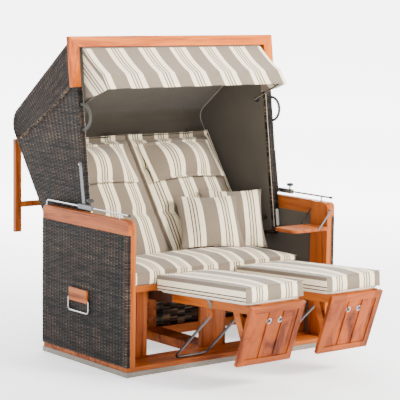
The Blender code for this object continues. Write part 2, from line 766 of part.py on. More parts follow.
def make_front_wall():
    """Recessed wall of upright boards with an open bay for each footrest."""
    low_z = PLINTH_TOP + GAP
    top_z = DECK_BOTTOM - GAP
    reach = ROOM_HALF - GAP
    ahead = WALL_FRONT - OVERRUN
    seam_rear = WALL_FRONT + SEAM_DEPTH
    half = BAY_WIDTH / 2
    cuts = [box((-SEAM_WIDTH / 2, ahead, 0), (SEAM_WIDTH / 2, seam_rear, top_z + OVERRUN))]
    for sign in (-1, 1):
        middle = sign * REST_OFFSET
        cuts.append(box((middle - half, ahead, 0), (middle + half, WALL_REAR + OVERRUN, BAY_TOP)))
        x = REST_OFFSET + half + WALL_BOARD_WIDTH
        while x < reach - SEAM_WIDTH:
            cuts.append(side_box(sign, x, x + SEAM_WIDTH, (ahead, 0), (seam_rear, top_z + OVERRUN)))
            x += WALL_BOARD_WIDTH
    solid("front_wall", box((-reach, WALL_FRONT, low_z), (reach, WALL_REAR, top_z)), TEAK, cut=cuts)


def make_seat():
    """Seat board with its front lip, and the frame under it that carries the runners."""
    low_z = PLINTH_TOP + GAP
    top_z = DECK_BOTTOM - GAP
    lip_z = SEAT_TOP - SEAT_RAIL_HEIGHT
    lip_rear = SEAT_FRONT + SEAT_RAIL_DEPTH
    outline = [(SEAT_FRONT, lip_z), (lip_rear, lip_z), (lip_rear, DECK_BOTTOM), (DECK_REAR, DECK_BOTTOM),
               (DECK_REAR, SEAT_TOP), (SEAT_FRONT, SEAT_TOP)]
    solid("seat_board", side_prism(outline, -SEAT_HALF_WIDTH, SEAT_HALF_WIDTH), TEAK)

    carrier_z = top_z - CARRIER_HEIGHT
    rear_y = REAR_PANEL_FRONT - GAP
    cross_y = rear_y - CROSS_RAIL_THICKNESS
    outer = REST_OFFSET + BAY_WIDTH / 2
    face = TRAY_WIDTH / 2 + RUNNER_CLEARANCE + RUNNER_WEB + GAP
    half_post = REAR_POST_WIDTH / 2
    extra = [box((-half_post, cross_y, low_z), (half_post, rear_y, carrier_z + OVERRUN))]
    for sign in (-1, 1):
        for toward in (-1, 1):
            near = REST_OFFSET + toward * face
            far = REST_OFFSET + toward * BAY_WIDTH / 2
            low = (WALL_REAR + GAP, carrier_z)
            high = (cross_y + CROSS_RAIL_THICKNESS / 2, top_z)
            extra.append(side_box(sign, near, far, low, high))
    solid("seat_frame", box((-outer, cross_y, carrier_z), (outer, rear_y, top_z)), TEAK, add=extra)


def make_hood():
    """Wicker hood with its braids, and its lining."""
    bore = PIVOT_RADIUS + PIVOT_CLEARANCE
    route = ((BRAID_FRONT_Y, BRAID_FRONT_DROP), (BRAID_MIDDLE_Y, BRAID_MIDDLE_DROP),
             (BRAID_REAR_Y, BRAID_REAR_DROP))
    braids = []
    for sign in (-1, 1):
        path = [(sign * HOOD_HALF, y, roof_z(y) - drop) for y, drop in route]
        braids.append(tube(path, BRAID_RADIUS, 8))
    outer = side_prism(hood_side_outline(), -HOOD_HALF, HOOD_HALF)
    cavity = side_prism(cavity_outline(HOOD_WALL), -HOOD_INNER, HOOD_INNER)
    hole = across_pin(-HALF_WIDTH, HALF_WIDTH, PIVOT_Y, PIVOT_Z, bore)
    solid("hood", outer, WICKER, add=braids, cut=[cavity, hole])

    sheet = side_prism(hood_lining_outline(), GAP - HOOD_INNER, HOOD_INNER - GAP)
    room = side_prism(cavity_outline(HOOD_WALL + GAP + HOOD_LINING), -HOOD_ROOM, HOOD_ROOM)
    hole = across_pin(-HALF_WIDTH, HALF_WIDTH, PIVOT_Y, PIVOT_Z, bore)
    solid("hood_lining", sheet, GREY_CLOTH, cut=[room, hole])


def make_header():
    """Wooden frame round the top of the hood's opening."""
    inner = HEADER_HALF - HEADER_SIDE_BOARD
    corners = [(-HEADER_HALF, 0), (HEADER_HALF, 0), (HEADER_HALF, -HEADER_HEIGHT), (inner, -HEADER_HEIGHT),
               (inner, -HEADER_TOP_BOARD), (-inner, -HEADER_TOP_BOARD), (-inner, -HEADER_HEIGHT),
               (-HEADER_HALF, -HEADER_HEIGHT)]
    points = [HEADER_EDGE + ACROSS * x + HOOD_UP * t for x, t in corners]
    frame = prism(points, -HOOD_FACE * HEADER_DEPTH)
    bmesh.ops.bevel(frame, geom=list(frame.edges), offset=EASED_EDGE, segments=1, affect="EDGES")
    solid("header_frame", frame, TEAK)


def make_pivot_bolt(sign):
    """Bolt that the hood turns on, with its washer and hexagon head."""
    start = sign * (ROOM_HALF - GAP)
    head_start = sign * (HOOD_ROOM - GAP)
    head_end = sign * (HOOD_ROOM - GAP - PIVOT_HEAD_LENGTH)
    washer = across_pin(start, sign * (HOOD_HALF + GAP), PIVOT_Y, PIVOT_Z, WASHER_RADIUS)
    shank = across_pin(start, head_end, PIVOT_Y, PIVOT_Z, PIVOT_RADIUS)
    head = across_pin(head_start, head_end, PIVOT_Y, PIVOT_Z, PIVOT_HEAD_RADIUS, 6)
    solid(side_name("pivot_bolt", sign), washer, STEEL, add=[shank, head])


def make_grip(sign):
    """Bent grip, wrapped in strands, on the hood's front edge."""
    middle_z = (GRIP_TOP_Z + GRIP_BOTTOM_Z) / 2
    half = (GRIP_TOP_Z - GRIP_BOTTOM_Z) / 2
    x = sign * (HOOD_INNER + HOOD_HALF) / 2
    foot = Vector((x, hood_front(middle_z), middle_z)) + HOOD_FACE * GAP
    middle = foot + HOOD_FACE * GRIP_STUB
    reach = GRIP_REACH - GRIP_STUB
    path = [foot + HOOD_UP * half]
    for i in range(GRIP_STEPS + 1):
        angle = math.pi * i / GRIP_STEPS
        path.append(middle + HOOD_FACE * reach * math.sin(angle) + HOOD_UP * half * math.cos(angle))
    path.append(foot - HOOD_UP * half)
    solid(side_name("grip", sign), tube(path, GRIP_RADIUS), WICKER)


def awning_points():
    """Places of the awning's header edge, crease and hem in the side view."""
    top = Vector((0, AWNING_TOP_Y, AWNING_TOP_Z))
    crease = Vector((0, AWNING_CREASE_Y, AWNING_CREASE_Z))
    hem = Vector((0, AWNING_HEM_Y, AWNING_HEM_Z))
    fall = (hem - crease).normalized()
    return top, crease, hem, Vector((0, fall.z, -fall.y))


def awning_surface():
    """Awning with its side pieces as an open sheet whose faces look out."""
    top, crease, hem, normal = awning_points()
    line = []
    for i in range(AWNING_ROOF_STEPS):
        t = i / AWNING_ROOF_STEPS
        line.append(top.lerp(crease, t) - Vector((0, 0, AWNING_SAG * math.sin(math.pi * t))))
    for i in range(AWNING_FRONT_STEPS + 1):
        line.append(crease.lerp(hem, i / AWNING_FRONT_STEPS))
    half = AWNING_HALF_WIDTH - AWNING_THICKNESS
    bm = bmesh.new()
    columns = []
    for i in range(AWNING_ACROSS + 1):
        share = i / AWNING_ACROSS
        ripple = AWNING_RIPPLE * (1 - math.cos(2 * math.pi * AWNING_RIPPLES * share)) / 2
        column = []
        for j, point in enumerate(line):
            fall = max(0, j - AWNING_ROOF_STEPS) / AWNING_FRONT_STEPS
            place = point + ACROSS * half * (2 * share - 1) + normal * ripple * fall
            column.append(bm.verts.new(place))
        columns.append(column)
    for first, second in zip(columns, columns[1:]):
        for j in range(len(line) - 1):
            bm.faces.new((first[j], first[j + 1], second[j + 1], second[j]))
    for column, sign in ((columns[0], -1), (columns[-1], 1)):
        rear = bm.verts.new((sign * half, AWNING_REAR_Y, AWNING_REAR_Z))
        for upper, lower in zip(column, column[1:]):
            bm.faces.new((upper, rear, lower) if sign < 0 else (upper, lower, rear))
    return bm


def make_awning():
    """Awning cloth, given its thickness on the outside."""
    bm = awning_surface()
    mesh = bpy.data.meshes.new("awning")
    bm.to_mesh(mesh)
    bm.free()
    item = link_object("awning", mesh)
    shell = item.modifiers.new("thickness", "SOLIDIFY")
    shell.thickness = AWNING_THICKNESS
    shell.offset = 1
    shell.use_even_offset = True
    apply_modifiers(item)
    paint(item, STRIPED)


def make_bow():
    """Steel bow under the awning and the discs that it turns in."""
    top, crease, hem, normal = awning_points()
    bar = crease.lerp(hem, BOW_BAR_SHARE) - normal * (BOW_RADIUS + GAP)
    outer = HOOD_ROOM - GAP
    corners = [(outer - GAP, BOW_PIVOT_Y, BOW_PIVOT_Z), (BOW_HALF_WIDTH, BOW_PIVOT_Y, BOW_PIVOT_Z),
               (BOW_HALF_WIDTH, bar.y, bar.z)]
    corners += [(-x, y, z) for x, y, z in reversed(corners)]
    radii = [BOW_KNEE_RADIUS, BOW_CORNER_RADIUS, BOW_CORNER_RADIUS, BOW_KNEE_RADIUS]
    solid("awning_bow", tube(rounded(corners, radii), BOW_RADIUS), STEEL)
    for sign in (-1, 1):
        face = sign * (outer - DISC_THICKNESS)
        bore = BOW_RADIUS + BOW_CLEARANCE
        disc = across_pin(face, sign * outer, BOW_PIVOT_Y, BOW_PIVOT_Z, DISC_RADIUS)
        hole = across_pin(0, sign * HALF_WIDTH, BOW_PIVOT_Y, BOW_PIVOT_Z, bore)
        solid(side_name("bow_bracket", sign), disc, STEEL, cut=[hole])


def make_rod(sign):
    """Rod along the arm, bent down at the rear, with its front post and flanges."""
    x = sign * ROD_X
    low_z = ARM_HEIGHT + GAP
    corners = [(x, ROD_FRONT_Y, ROD_Z), (x, ROD_REAR_Y, ROD_Z), (x, ROD_REAR_Y, low_z)]
    extra = [pin((x, ROD_POST_Y, low_z), (x, ROD_POST_Y, ROD_Z), ROD_POST_RADIUS)]
    for y in (ROD_POST_Y, ROD_REAR_Y):
        extra.append(pin((x, y, low_z), (x, y, low_z + ROD_FLANGE_HEIGHT), ROD_FLANGE_RADIUS))
    rod = tube(rounded(corners, [ROD_BEND_RADIUS]), ROD_RADIUS)
    solid(side_name("slide_rod", sign), rod, STEEL, add=extra)


def make_clamp(sign):
    """Block that slides on the rod, with the shouldered pin that holds the strap."""
    x = sign * ROD_X
    half = CLAMP_WIDTH / 2
    low = (x - half, CLAMP_FRONT_Y, ROD_Z - CLAMP_HEIGHT / 2)
    high = (x + half, CLAMP_REAR_Y, ROD_Z + CLAMP_HEIGHT / 2)
    foot_z = STRAP_FOOT_Z
    strap_inner = HOOD_HALF + STRAP_STANDOFF
    strap_outer = strap_inner + STRAP_THICKNESS
    root = sign * (ROD_X - half + half / 4)
    head_end = sign * (HOOD_HALF + STRAP_STANDOFF / 3)
    shoulder = across_pin(root, sign * (strap_outer + GAP), STRAP_FOOT_Y, foot_z, STRAP_BOLT_RADIUS)
    pivot = across_pin(root, head_end, STRAP_FOOT_Y, foot_z, STRAP_PIN_RADIUS)
    head = across_pin(sign * (strap_inner - GAP), head_end, STRAP_FOOT_Y, foot_z, STRAP_BOLT_RADIUS)
    bore_start = (x, CLAMP_FRONT_Y - OVERRUN, ROD_Z)
    bore_end = (x, CLAMP_REAR_Y + OVERRUN, ROD_Z)
    bore = pin(bore_start, bore_end, ROD_RADIUS + ROD_CLEARANCE)
    block = box(low, high, EASED_EDGE)
    solid(side_name("clamp", sign), block, STEEL, add=[shoulder, pivot, head], cut=[bore])


def make_knob(sign):
    """Star knob with a domed top on its stem."""
    x = sign * ROD_X
    stem_z = ROD_Z + CLAMP_HEIGHT / 2 + GAP
    base = stem_z + KNOB_STEM_HEIGHT
    bm = bmesh.new()
    rings = []
    for rise, size in zip(KNOB_RISE_SHARES, KNOB_SIZE_SHARES):
        ring = []
        for k in range(KNOB_POINTS):
            angle = 2 * math.pi * k / KNOB_POINTS
            reach = (KNOB_RADIUS + KNOB_LOBE * math.cos(KNOB_LOBES * angle)) * size
            ring.append(bm.verts.new((x + reach * math.cos(angle), KNOB_Y + reach * math.sin(angle),
                                      base + KNOB_HEIGHT * rise)))
        rings.append(ring)
    for first, second in zip(rings, rings[1:]):
        for k in range(KNOB_POINTS):
            n = (k + 1) % KNOB_POINTS
            bm.faces.new((first[k], first[n], second[n], second[k]))
    bm.faces.new(list(reversed(rings[0])))
    bm.faces.new(rings[-1])
    stem = pin((x, KNOB_Y, stem_z), (x, KNOB_Y, base + KNOB_HEIGHT / 2), KNOB_STEM_RADIUS)
    solid(side_name("knob", sign), bm, BLACK, add=[stem])


def make_strap(sign):
    """Flat strap from the clamp to the hood, with a hole at its foot and a bolt at its head."""
    inner = HOOD_HALF + STRAP_STANDOFF
    outer = inner + STRAP_THICKNESS
    foot = (STRAP_FOOT_Y, STRAP_FOOT_Z)
    head = (STRAP_HEAD_Y, STRAP_HEAD_Z)
    bar = side_prism(stadium(foot, head, STRAP_WIDTH), sign * inner, sign * outer)
    hole = across_pin(0, sign * HALF_WIDTH, *foot, STRAP_PIN_RADIUS + STRAP_CLEARANCE)
    bolt = across_pin(sign * (HOOD_HALF + GAP), sign * (outer + STRAP_THICKNESS), *head, STRAP_BOLT_RADIUS)
    solid(side_name("strap", sign), bar, STEEL, add=[bolt], cut=[hole])


def make_support_frame():
    """Swinging frame behind the hood: two posts and a cross bar."""
    half = PROP_POST_DEPTH / 2
    top_z = PROP_AXIS_Z + PROP_POST_HEAD
    reach = PROP_OUTER - EASED_EDGE
    low = (-reach, PROP_AXIS_Y - PROP_BAR_DEPTH / 2, PROP_BAR_Z - PROP_BAR_HEIGHT / 2)
    high = (reach, PROP_AXIS_Y + PROP_BAR_DEPTH / 2, PROP_BAR_Z + PROP_BAR_HEIGHT / 2)
    posts = []
    holes = []
    for sign in (-1, 1):
        post_low = (PROP_AXIS_Y - half, PROP_FOOT_Z)
        posts.append(side_box(sign, PROP_INNER, PROP_OUTER, post_low, (PROP_AXIS_Y + half, top_z)))
        start, end = sign * (PROP_INNER - OVERRUN), sign * (PROP_OUTER + OVERRUN)
        holes.append(across_pin(start, end, PROP_AXIS_Y, PROP_AXIS_Z, HINGE_PIN_RADIUS + HINGE_CLEARANCE))
    solid("support_frame", box(low, high), TEAK, add=posts, cut=holes)


def make_support_hinge(sign):
    """Bracket on the hood's back that holds one post of the support frame."""
    axis = Vector((0, PROP_AXIS_Y, PROP_AXIS_Z)) - BACK_FOOT
    height = axis.dot(BACK_FACE)
    distance = axis.dot(BACK_UP)
    near = sign * (PROP_INNER - GAP - HINGE_WIDTH)
    sweep = ACROSS * sign * HINGE_WIDTH
    low, high = distance - HINGE_PLATE_REACH, distance + HINGE_PLATE_REACH
    outline = ((low, -GAP), (high, -GAP), (high, -HINGE_PLATE), (low, -HINGE_PLATE))
    plate = prism([back_point(near, d, h) for d, h in outline], sweep)
    root_height = -HINGE_PLATE / 2
    arm = [back_point(near, distance + root, root_height) for root in (-HINGE_ROOT, HINGE_ROOT)]
    for i in range(EYE_STEPS + 1):
        angle = math.pi * i / EYE_STEPS
        along = distance + HINGE_EYE_RADIUS * math.cos(angle)
        arm.append(back_point(near, along, height - HINGE_EYE_RADIUS * math.sin(angle)))
    pin_end = sign * (PROP_OUTER + GAP)
    pivot = across_pin(near, pin_end, PROP_AXIS_Y, PROP_AXIS_Z, HINGE_PIN_RADIUS)
    head_end = pin_end + sign * HINGE_PLATE
    head = across_pin(pin_end, head_end, PROP_AXIS_Y, PROP_AXIS_Z, HINGE_EYE_RADIUS)
    solid(side_name("support_hinge", sign), plate, STEEL, add=[prism(arm, sweep), pivot, head])


def make_carry_handle(sign):
    """Wooden block on a side panel and the wire handle that hangs from it."""
    low_y = CARRY_Y - CARRY_WIDTH / 2
    high_y = CARRY_Y + CARRY_WIDTH / 2
    start = HALF_WIDTH + GAP
    low, high = (low_y, CARRY_BOTTOM_Z), (high_y, CARRY_TOP_Z)
    block = side_box(sign, start, start + CARRY_THICKNESS, low, high, CARRY_EDGE)
    x = sign * CARRY_AXIS_X
    holes = []
    for end, toward in ((low_y, 1), (high_y, -1)):
        deep = end + toward * (BAIL_PIN + BAIL_CLEARANCE)
        mouth = (x, end - toward * OVERRUN, CARRY_AXIS_Z)
        holes.append(pin(mouth, (x, deep, CARRY_AXIS_Z), BAIL_RADIUS + BAIL_CLEARANCE, 12))
    solid(side_name("carry_block", sign), block, TEAK, cut=holes)

    arm = CARRY_WIDTH / 2 + BAIL_SIDE_GAP + BAIL_RADIUS
    low_z = CARRY_AXIS_Z - BAIL_DROP
    front, rear = CARRY_Y - arm, CARRY_Y + arm
    route = [(low_y + BAIL_PIN, CARRY_AXIS_Z), (front, CARRY_AXIS_Z), (front, low_z), (rear, low_z),
             (rear, CARRY_AXIS_Z), (high_y - BAIL_PIN, CARRY_AXIS_Z)]
    corners = [(x, y, z) for y, z in route]
    radii = [BAIL_KNEE_RADIUS, BAIL_CORNER_RADIUS, BAIL_CORNER_RADIUS, BAIL_KNEE_RADIUS]
    solid(side_name("carry_bail", sign), tube(rounded(corners, radii), BAIL_RADIUS, 8), STEEL)


def make_table():
    """Fold-down table inside the right arm."""
    inner = TABLE_OUTER - TABLE_LENGTH
    low_z = TABLE_TOP_Z - TABLE_THICKNESS
    corners = [(TABLE_OUTER, TABLE_FRONT_Y), (TABLE_OUTER, PILASTER_REAR), (inner, PILASTER_REAR),
               (inner, TABLE_FRONT_Y)]
    outline = closed_rounded(corners, [0, 0, TABLE_REAR_RADIUS, TABLE_FRONT_RADIUS], 6)
    solid("side_table", prism([(x, y, low_z) for x, y in outline], (0, 0, TABLE_THICKNESS)), TEAK)


def make_stay(name, start_y):
    """Flat stay in front of or behind the table, hinged at the post."""
    head = (STAY_TOP_X, STAY_TOP_Z)
    foot = (STAY_TOP_X - STAY_REACH, TABLE_TOP_Z - TABLE_THICKNESS / 2)
    points = [(x, start_y, z) for x, z in stadium(foot, head, STAY_WIDTH)]
    extra = []
    if start_y < FRONT:
        middle = start_y + STAY_THICKNESS / 2
        extra.append(pin((head[0], middle, head[1]), (head[0], FRONT - GAP, head[1]), STAY_PIN_RADIUS, 12))
    solid(name, prism(points, (0, STAY_THICKNESS, 0)), STEEL, add=extra)


def flap_place(down, depth):
    """Place on a flap in the footrests' frame: down from its front top edge, behind its face."""
    out = FLAP_OUT - math.sin(FLAP_TURN) * down - math.cos(FLAP_TURN) * depth
    up = -FLAP_DROP - math.cos(FLAP_TURN) * down + math.sin(FLAP_TURN) * depth
    return out, up


def tray_end(up):
    """Where the tray meets the back of the flap at a height, in the footrests' frame."""
    out, flap_up = flap_place(0, FLAP_THICKNESS + GAP)
    return out + (up - flap_up) * math.tan(FLAP_TURN)


def rest_prism(outline, low_x, high_x):
    """Extrude an outline of (out, up) points across X in the footrests' frame."""
    return prism([rest_point(low_x, out, up) for out, up in outline], ACROSS * (high_x - low_x))


def tray_lug(low_x, high_x):
    """Ear under the tray that holds one end of the leg."""
    reach = LUG_LENGTH / 2
    root = -TRAY_BOARD / 2
    outline = [(LUG_PIVOT_OUT - reach, root), (LUG_PIVOT_OUT + reach, root)]
    for i in range(EYE_STEPS + 1):
        angle = math.pi * i / EYE_STEPS
        outline.append((LUG_PIVOT_OUT + reach * math.cos(angle), -LUG_PIVOT_DROP - reach * math.sin(angle)))
    return rest_prism(outline, low_x, high_x)


def tray_brace(low_x, high_x):
    """Slanted brace from under the tray to the back of the flap."""
    root = -TRAY_BOARD / 2
    upper = flap_place(BRACE_FOOT, FLAP_THICKNESS + GAP)
    lower = flap_place(BRACE_FOOT + BRACE_FOOT_LENGTH, FLAP_THICKNESS + GAP)
    outline = [(BRACE_ROOT, root), (BRACE_ROOT + BRACE_ROOT_LENGTH, root), upper, lower]
    return rest_prism(outline, low_x, high_x)


def make_tray(sign):
    """Sliding tray with its braces and the ears that hold the leg."""
    middle = sign * REST_OFFSET
    half = TRAY_WIDTH / 2
    front = tray_end(-TRAY_HEIGHT)
    outline = [(TRAY_REAR, 0), (tray_end(0), 0), (front, -TRAY_HEIGHT), (TRAY_REAR, -TRAY_HEIGHT)]
    body = rest_prism(outline, middle - half, middle + half)
    below = -TRAY_HEIGHT - OVERRUN
    rear, ahead = TRAY_REAR + TRAY_RIM, front - TRAY_RIM
    pocket_outline = [(rear, -TRAY_BOARD), (ahead, -TRAY_BOARD), (ahead, below), (rear, below)]
    pocket = rest_prism(pocket_outline, middle - half + TRAY_RIM, middle + half - TRAY_RIM)
    name = side_name("tray", sign)
    solid(name, body, TEAK, cut=[pocket])
    item = bpy.data.objects[name]
    for toward in (-1, 1):
        near = LEG_SPREAD + LEG_KNEE_RADIUS
        low, high = sorted((middle + toward * near, middle + toward * (near + LUG_THICKNESS)))
        combine(item, "UNION", tray_lug(low, high))
        outer = half - BRACE_INSET
        low, high = sorted((middle + toward * outer, middle + toward * (outer - BRACE_WIDTH)))
        combine(item, "UNION", tray_brace(low, high))
    pivot = rest_point(0, LUG_PIVOT_OUT, -LUG_PIVOT_DROP)
    hole = across_pin(middle - half, middle + half, pivot.y, pivot.z, LEG_RADIUS + LEG_CLEARANCE)
    combine(item, "DIFFERENCE", hole)
    paint(item, TEAK)


def make_runner(sign):
    """Pair of steel channels that carry a tray, joined by a stop at the rear."""
    middle = sign * REST_OFFSET
    half = TRAY_WIDTH / 2 + RUNNER_CLEARANCE
    reach = half + RUNNER_WEB
    flange = half - RUNNER_FLANGE
    stop_face = TRAY_REAR - TRAY_TRAVEL - RUNNER_CLEARANCE
    rear = stop_face - RUNNER_STOP
    top = -RUNNER_CLEARANCE
    under = -TRAY_HEIGHT - RUNNER_CLEARANCE
    bottom = under - RUNNER_WEB
    block = rest_prism([(rear, bottom), (0, bottom), (0, top), (rear, top)], middle - reach, middle + reach)
    room = [(half, OVERRUN), (half, under), (flange, under), (flange, bottom - OVERRUN)]
    room += [(-x, up) for x, up in reversed(room)]
    points = [rest_point(middle + x, stop_face, up) for x, up in room]
    solid(side_name("runner", sign), block, STEEL, cut=[prism(points, REST_OUT * (OVERRUN - stop_face))])


def make_flap(sign):
    """Front flap of a footrest: a frame with upright boards set back in it."""
    half = FLAP_WIDTH / 2
    face = REST_OUT * math.cos(FLAP_TURN) - REST_UP * math.sin(FLAP_TURN)
    down = -REST_OUT * math.sin(FLAP_TURN) - REST_UP * math.cos(FLAP_TURN)
    origin = rest_point(sign * REST_OFFSET, *flap_place(0, 0))
    shapes = [box((-half, 0, -FLAP_THICKNESS), (half, FLAP_LENGTH, 0), EASED_EDGE)]
    room = FLAP_WIDTH - 2 * FLAP_RIM
    width = (room - SEAM_WIDTH * (FLAP_BOARDS - 1)) / FLAP_BOARDS
    for i in range(FLAP_BOARDS):
        start = -half + FLAP_RIM + i * (width + SEAM_WIDTH)
        shapes.append(box((start, FLAP_RIM, -FLAP_RECESS), (start + width, FLAP_LENGTH - FLAP_RIM, OVERRUN)))
    for shape in shapes:
        placed(shape, origin, ACROSS, down, face)
    solid(side_name("flap", sign), shapes[0], TEAK, cut=shapes[1:])


def make_leg(sign):
    """Steel leg of a footrest, bent from one tube."""
    middle = sign * REST_OFFSET
    pivot = rest_point(0, LUG_PIVOT_OUT, -LUG_PIVOT_DROP)
    end = LEG_SPREAD + LEG_KNEE_RADIUS + LUG_THICKNESS
    foot_z = PLINTH_TOP + GAP + LEG_RADIUS
    corners = [(-end, pivot.y, pivot.z), (-LEG_SPREAD, pivot.y, pivot.z), (-LEG_SPREAD, LEG_FOOT_Y, foot_z)]
    corners += [(-x, y, z) for x, y, z in reversed(corners)]
    corners = [(x + middle, y, z) for x, y, z in corners]
    radii = [LEG_KNEE_RADIUS, LEG_CORNER_RADIUS, LEG_CORNER_RADIUS, LEG_KNEE_RADIUS]
    solid(side_name("leg", sign), tube(rounded(corners, radii), LEG_RADIUS), STEEL)


def seat_pad_top(x, y):
    """Height of the seat cushion's top."""
    u = (2 * x - SEAT_PAD_LEFT - SEAT_PAD_RIGHT) / (SEAT_PAD_RIGHT - SEAT_PAD_LEFT)
    v = (2 * y - SEAT_PAD_FRONT - SEAT_PAD_REAR) / (SEAT_PAD_REAR - SEAT_PAD_FRONT)
    return SEAT_TOP + GAP + SEAT_PAD_GUSSET + SEAT_PAD_CROWN * max(0.0, bulge(u)) * max(0.0, bulge(v))


def make_seat_cushion():
    """One wide cushion on the seat board."""
    size = (SEAT_PAD_RIGHT - SEAT_PAD_LEFT, SEAT_PAD_REAR - SEAT_PAD_FRONT)
    shape = pad(size, SEAT_PAD_GUSSET, SEAT_PAD_CROWN, (16, 10))
    middle_x = (SEAT_PAD_LEFT + SEAT_PAD_RIGHT) / 2
    middle_y = (SEAT_PAD_FRONT + SEAT_PAD_REAR) / 2
    origin = Vector((middle_x, middle_y, SEAT_TOP + GAP))
    placed(shape, origin, ACROSS, Vector((0, 1, 0)), Vector((0, 0, 1)))
    solid("seat_cushion", shape, STRIPED)


def make_side_cushions(sign):
    """Back cushion, neck pillow and footrest cushion of one seat."""
    size = (BACK_PAD_WIDTH, BACK_PAD_LENGTH)
    shape = pad(size, BACK_PAD_GUSSET, BACK_PAD_CROWN, (12, 22), 0.0, BACK_CHANNEL_SHARES, BACK_PAD_LIP)
    origin = back_point(sign * BACK_PAD_OFFSET, BACK_PAD_START + BACK_PAD_LENGTH / 2, BACK_PAD_HEIGHT)
    solid(side_name("back_cushion", sign), placed(shape, origin, ACROSS, BACK_UP, BACK_FACE), STRIPED)

    shape = pad((NECK_PAD_WIDTH, NECK_PAD_LENGTH), 0.0, NECK_PAD_CROWN, (12, 8), hem=NECK_PAD_HEM)
    height = BACK_PAD_HEIGHT + BACK_PAD_GUSSET + BACK_PAD_CROWN - NECK_PAD_SINK
    origin = back_point(sign * NECK_PAD_OFFSET, NECK_PAD_MIDDLE, height)
    solid(side_name("neck_pillow", sign), placed(shape, origin, ACROSS, BACK_UP, BACK_FACE), STRIPED)

    shape = pad((REST_PAD_WIDTH, REST_PAD_LENGTH), REST_PAD_GUSSET, REST_PAD_CROWN, (10, 14))
    origin = rest_point(sign * REST_OFFSET, REST_PAD_REAR + REST_PAD_LENGTH / 2, GAP)
    solid(side_name("footrest_cushion", sign), placed(shape, origin, ACROSS, REST_OUT, REST_UP), STRIPED)


def make_throw_pillow(name, x, y, sink):
    """Square pillow that leans back on the seat cushion."""
    up = Vector((0, math.sin(THROW_LEAN), math.cos(THROW_LEAN)))
    face = Vector((0, -math.cos(THROW_LEAN), math.sin(THROW_LEAN)))
    half = THROW_SIZE / 2
    thickness = 2 * THROW_CROWN + THROW_HEM
    bottom = max(seat_pad_top(x - half, y), seat_pad_top(x, y), seat_pad_top(x + half, y))
    low = Vector((x, y, bottom - sink + math.sin(THROW_LEAN) * THROW_HEM / 2))
    origin = low + up * half - face * thickness / 2
    shape = pad((THROW_SIZE, THROW_SIZE), 0.0, THROW_CROWN, (12, 12), hem=THROW_HEM)
    solid(name, placed(shape, origin, ACROSS, up, face), STRIPED)


def hang(name, point, parent, names):
    """Empty on a joint's axis that carries the named pieces."""
    empty = link_object(name, None)
    empty.location = point
    if parent is not None:
        empty.location = point - parent[1]
        empty.parent = parent[0]
    for piece in names:
        item = bpy.data.objects[piece]
        item.data.transform(Matrix.Translation(-point))
        item.parent = empty
    return empty, point


def hang_moving_pieces():
    """Put every moving piece on the axis that it turns about or the point that it slides from."""
    pairs = ("grip", "bow_bracket", "back_cushion", "neck_pillow", "support_hinge")
    hood_pieces = ["hood", "hood_lining", "header_frame", "awning"]
    hood_pieces += [side_name(piece, sign) for piece in pairs for sign in (-1, 1)]
    hood = hang("hood_axis", Vector((0, PIVOT_Y, PIVOT_Z)), None, hood_pieces)
    hang("bow_axis", Vector((0, BOW_PIVOT_Y, BOW_PIVOT_Z)), hood, ["awning_bow"])
    hang("support_axis", Vector((0, PROP_AXIS_Y, PROP_AXIS_Z)), hood, ["support_frame"])
    for sign in (-1, 1):
        clamp_start = Vector((sign * ROD_X, 0, ROD_Z))
        clamp = hang(side_name("clamp_slide", sign), clamp_start, None, [side_name("clamp", sign)])
        knob_foot = Vector((sign * ROD_X, KNOB_Y, ROD_Z))
        hang(side_name("knob_axis", sign), knob_foot, clamp, [side_name("knob", sign)])
        strap_foot = Vector((sign * ROD_X, STRAP_FOOT_Y, STRAP_FOOT_Z))
        hang(side_name("strap_axis", sign), strap_foot, clamp, [side_name("strap", sign)])
        tray_pieces = [side_name(piece, sign) for piece in ("tray", "flap", "footrest_cushion")]
        slide = hang(side_name("tray_slide", sign), rest_point(sign * REST_OFFSET, 0, 0), None, tray_pieces)
        leg_pivot = rest_point(sign * REST_OFFSET, LUG_PIVOT_OUT, -LUG_PIVOT_DROP)
        hang(side_name("leg_axis", sign), leg_pivot, slide, [side_name("leg", sign)])
        bail_axis = Vector((sign * CARRY_AXIS_X, CARRY_Y, CARRY_AXIS_Z))
        hang(side_name("bail_axis", sign), bail_axis, None, [side_name("carry_bail", sign)])
    table_edge = Vector((TABLE_OUTER, PILASTER_REAR, TABLE_TOP_Z - TABLE_THICKNESS))
    hang("table_axis", table_edge, None, ["side_table"])
    hang("stay_axis", Vector((STAY_TOP_X, 0, STAY_TOP_Z)), None, ["table_stay_front", "table_stay_rear"])


def main():
    """Build every piece, then hang the moving ones on their axes."""
    clear_scene()
    make_plinth()
    make_rear_panel()
    make_front_wall()
    make_seat()
    make_hood()
    make_header()
    make_awning()
    make_bow()
    make_support_frame()
    make_table()
    make_stay("table_stay_front", TABLE_FRONT_Y - GAP - STAY_THICKNESS)
    make_stay("table_stay_rear", PILASTER_REAR + GAP)
    make_seat_cushion()
    make_throw_pillow("throw_pillow_front", THROW_FRONT_X, THROW_FRONT_Y, THROW_FRONT_SINK)
    make_throw_pillow("throw_pillow_rear", THROW_REAR_X, THROW_REAR_Y, THROW_REAR_SINK)
    for sign in (-1, 1):
        for make in (make_side, make_pivot_bolt, make_grip, make_rod, make_clamp, make_knob, make_strap,
                     make_support_hinge, make_carry_handle, make_tray, make_runner, make_flap, make_leg,
                     make_side_cushions):
            make(sign)
    hang_moving_pieces()


main()
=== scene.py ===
"""Looks of the hooded beach chair: woven strands, oiled wood, striped cloth and steel.

Metres, +Z up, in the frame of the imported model. The front faces -Y.
"""
import math

import bmesh
import bpy
import numpy as np
from mathutils import Matrix, Vector
from mathutils.bvhtree import BVHTree


